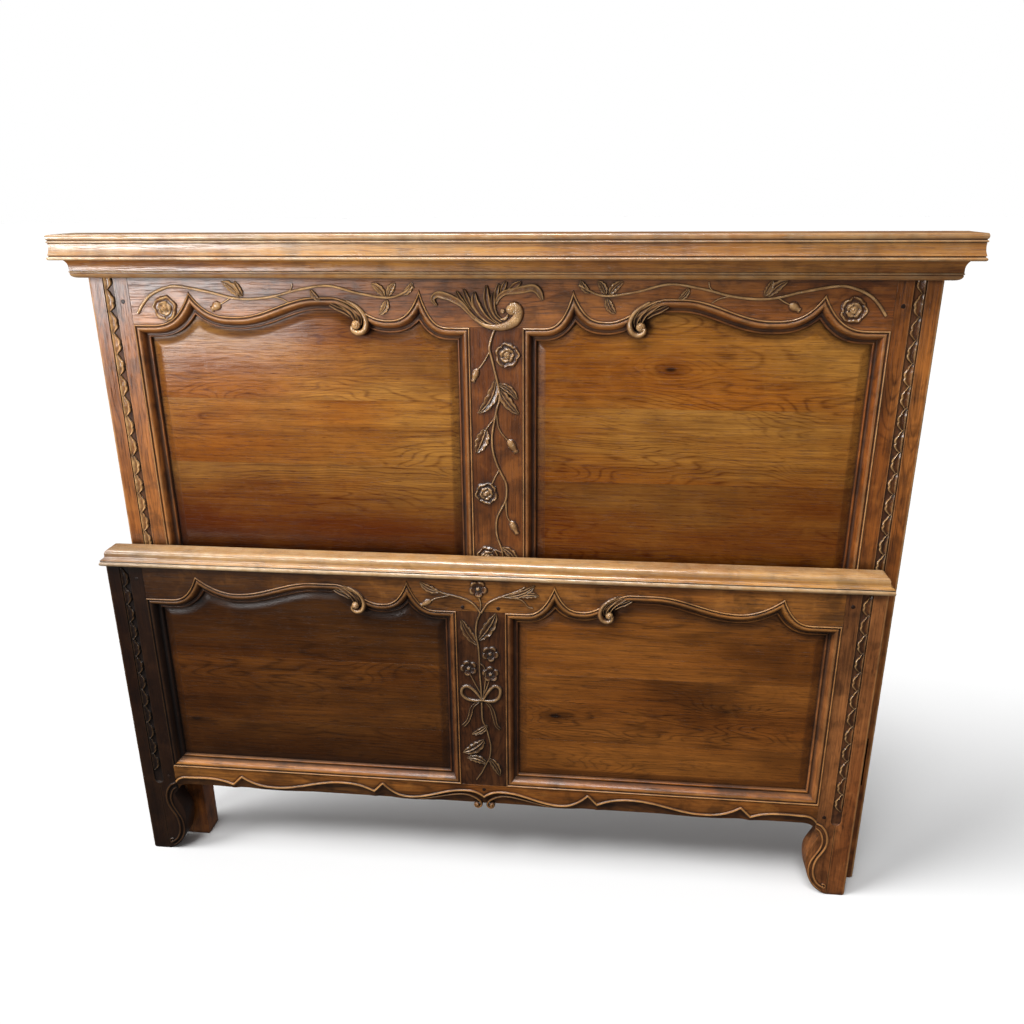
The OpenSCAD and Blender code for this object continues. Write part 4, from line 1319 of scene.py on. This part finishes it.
def slotted_head(shape, x, y, z, facing, turn):
    """A countersunk screw's head with its slot, and a short neck behind it."""
    r = 4.0
    a = np.linspace(0, 2 * np.pi, 40, endpoint=False)
    rings = []
    for rho in (0.02, 0.2, 0.4, 0.6, 0.8, 0.93):
        slot = 0.9 * bump(r * rho * np.sin(a), 0, 0.45)
        rings.append((rho, slot - 0.25 * (1 - rho ** 2)))
    rings += [(1.0, 0.1), (0.55, 2.0)]
    shape.loft([xyz(x + r * rho * np.cos(a + turn), y + facing * depth,
                    z + r * rho * np.sin(a + turn)) for rho, depth in rings])


def screws(end):
    facing = 1 if end is HEAD else -1
    y = 0 if end is HEAD else end.thick
    shape = Shape(end)
    plate = f"{end.body}_right_hook_plate"
    mid = (low(plate) + high(plate)) / 2
    for s in (-1, 1):
        for dz in (-SCREW_UP, SCREW_UP):
            slotted_head(shape, s * (mid[0] - end.shift), y, mid[2] + dz, facing, 0.7 * s + dz)
    shape.finish(f"steel_{end.body}_plate_screws", "screw_steel", STEEL,
                 f"{end.body}_plate_screws")


# ---- assembly ----

HEAD_CHANNEL_Z = 430
FOOT_CHANNEL_Z = 185

# Panels: heights of the joints, then each board's tone at its lower and its upper edge. The
# footboard's left-hand panel is darker than its right, painted shade; the headboard's lower boards
# are darker towards the bottom.
BOARDS = {
    ("headboard", "left"): ([470, 729, 945, 1080], [(-1.5, -1.8), (-1.9, -1.15), (-1.5, -0.3),
                                                    (-0.35, -0.1), (-0.1, -0.1)]),
    ("headboard", "right"): ([470, 718, 922, 1073], [(-1.5, -1.7), (-1.8, -1.05), (-0.7, -0.8),
                                                     (-0.4, -0.1), (0.0, 0.1)]),
    ("footboard", "left"): ([360, 522], [(-1.0, -0.8), (-0.75, -0.6), (-0.8, -1.1)]),
    ("footboard", "right"): ([352, 512], [(0.2, 0.3), (0.0, -0.1), (0.3, 0.1)]),
}

# On the footboard the left-hand post, husks and foot scroll are made near-black, painted shade; on
# the headboard the left-hand husks are lighter, a painted sheen.
for side in ("left", "right"):
    post(HEAD, side, FRAME_Z, HEAD_CHANNEL_Z)
    post(FOOT, side, LOW_Z, FOOT_CHANNEL_Z, -1.9 if side == "left" else 0.0)
    panel(HEAD, side, *BOARDS["headboard", side], PANEL)
    panel(FOOT, side, *BOARDS["footboard", side], LOW_PANEL)
    husks(HEAD, side, HEAD_CHANNEL_Z, CARVED, *((0.5, 0.6) if side == "left" else (-0.3, 0.1)))
    husks(FOOT, side, FOOT_CHANNEL_Z, CARVED, -1.8 if side == "left" else -0.5)
    foot_scroll(side, LOW_Z, -1.8 if side == "left" else -0.3)
    for end in (HEAD, FOOT):
        dress(f"{end.body}_{side}_hook_plate", IRON)

top_rail(HEAD, FRAME_X)
top_rail(FOOT, LOW_X, -1.3)
bottom_rail()
apron()
muntin(HEAD, FRAME_Z, -0.6)
muntin(FOOT, LOW_Z, -1.0)
tier("crown", crown_section(), low("crown_front")[2], 0.30)
tier("bed_mould", bed_mould_section(), low("bed_mould_front")[2], 0.12)
top_board()
cap()
pegs(HEAD, (HEAD.sight + 44, HEAD.sill - 50, low("headboard_bottom_rail")[2] + 40),
     [(0, HEAD.sill - 20)])
pegs(FOOT, (FOOT.sight + 44, FOOT.sill - 30),
     [(-37, FOOT.sight + 9), (37, FOOT.sight + 9), (0, FOOT.sill - 12)])
screws(HEAD)
screws(FOOT)
head_rail_carving()
head_muntin_carving()
foot_rail_carving()
foot_muntin_carving()
apron_scrolls()

dress("footboard_cap_dowels", PEG)


# ---- floor, light and camera ----

FLOOR_R = 60
FLOOR_SIDES = 64


def pale_floor():
    g = Graph("pale_floor")
    x, y, z = g.place()
    g.put(g.shader.inputs["Base Color"],
          g.mix(g.noise(g.vector(x, y, z), 2.0), (0.87, 0.87, 0.87, 1), (0.89, 0.89, 0.89, 1)))
    g.shader.inputs["Roughness"].default_value = 0.8
    g.shader.inputs["Specular IOR Level"].default_value = 0.0
    mesh = bpy.data.meshes.new("floor")
    ring = [(FLOOR_R * math.cos(a), FLOOR_R * math.sin(a), 0)
            for a in np.linspace(0, 2 * math.pi, FLOOR_SIDES + 1)[:-1]]
    mesh.from_pydata(ring, [], [list(range(FLOOR_SIDES))])
    mesh.materials.append(g.material)
    floor = bpy.data.objects.new("floor", mesh)
    floor.visible_diffuse = False
    floor.visible_glossy = False
    bpy.context.scene.collection.objects.link(floor)


def lamp(name, kind, shine, place=(0, 0, 0)):
    light = bpy.data.lights.new(name, kind)
    body = bpy.data.objects.new(name, light)
    body.location = place
    body.rotation_euler = shine.to_track_quat("-Z", "Y").to_euler()
    bpy.context.scene.collection.objects.link(body)
    return light, body


def softbox(name, place, target, size, power, spread, diffuse):
    light, body = lamp(name, "AREA", Vector(target) - Vector(place), place)
    light.shape = "RECTANGLE"
    light.size, light.size_y = size
    light.energy = power
    light.spread = math.radians(spread)
    body.visible_diffuse = diffuse


def world():
    """A white backdrop that lights the wood only softly, so that its gloss stays deep."""
    scene = bpy.context.scene
    scene.world = bpy.data.worlds.new("studio")
    scene.world.use_nodes = True
    nodes, links = scene.world.node_tree.nodes, scene.world.node_tree.links
    path = nodes.new("ShaderNodeLightPath")
    seen = nodes["Background"]
    seen.inputs["Color"].default_value = (1, 1, 1, 1)
    for ray, strength in (("Is Diffuse Ray", 0.22), ("Is Glossy Ray", 0.07)):
        sky = nodes.new("ShaderNodeBackground")
        sky.inputs["Color"].default_value = (1, 1, 1, 1)
        sky.inputs["Strength"].default_value = strength
        choose = nodes.new("ShaderNodeMixShader")
        links.new(path.outputs[ray], choose.inputs[0])
        links.new(seen.outputs[0], choose.inputs[1])
        links.new(sky.outputs[0], choose.inputs[2])
        seen = choose
    links.new(seen.outputs[0], nodes["World Output"].inputs[0])


def camera():
    lens = bpy.data.cameras.new("camera")
    lens.lens = 31.04
    lens.sensor_width = 36
    lens.clip_end = 200
    eye = bpy.data.objects.new("camera", lens)
    eye.location = (0.209, -1.668, 1.466)
    pan, tilt, roll = (math.radians(v) for v in (6.157, 90 - 19.82, -0.377))
    turn = Matrix.Rotation(pan, 3, "Z") @ Matrix.Rotation(tilt, 3, "X")
    eye.rotation_euler = (turn @ Matrix.Rotation(roll, 3, "Z")).to_euler()
    bpy.context.scene.collection.objects.link(eye)
    bpy.context.scene.camera = eye


def sky_light(name, elevation, azimuth, strength, spread):
    """Even light from far off, with soft shadows. Azimuth 0 shines along +Y, 90 along +X."""
    e, a = math.radians(elevation), math.radians(azimuth)
    shine = Vector((math.sin(a) * math.cos(e), math.cos(a) * math.cos(e), -math.sin(e)))
    light, _ = lamp(name, "SUN", shine)
    light.energy = strength
    light.angle = math.radians(spread)


pale_floor()
sky_light("overhead", 62, 18, 1.4, 22)
sky_light("side", 46, 70, 2.5, 26)
softbox("window", (-2.0, -2.5, 1.34), (-0.5, 0.0, 1.85), (1.2, 0.9), 10, 60, True)
softbox("ceiling", (-0.5, -0.3, 3.0), (-0.4, -0.2, 0.8), (2.6, 0.7), 40, 120, False)
world()
camera()
bpy.context.scene.view_settings.view_transform = "Standard"
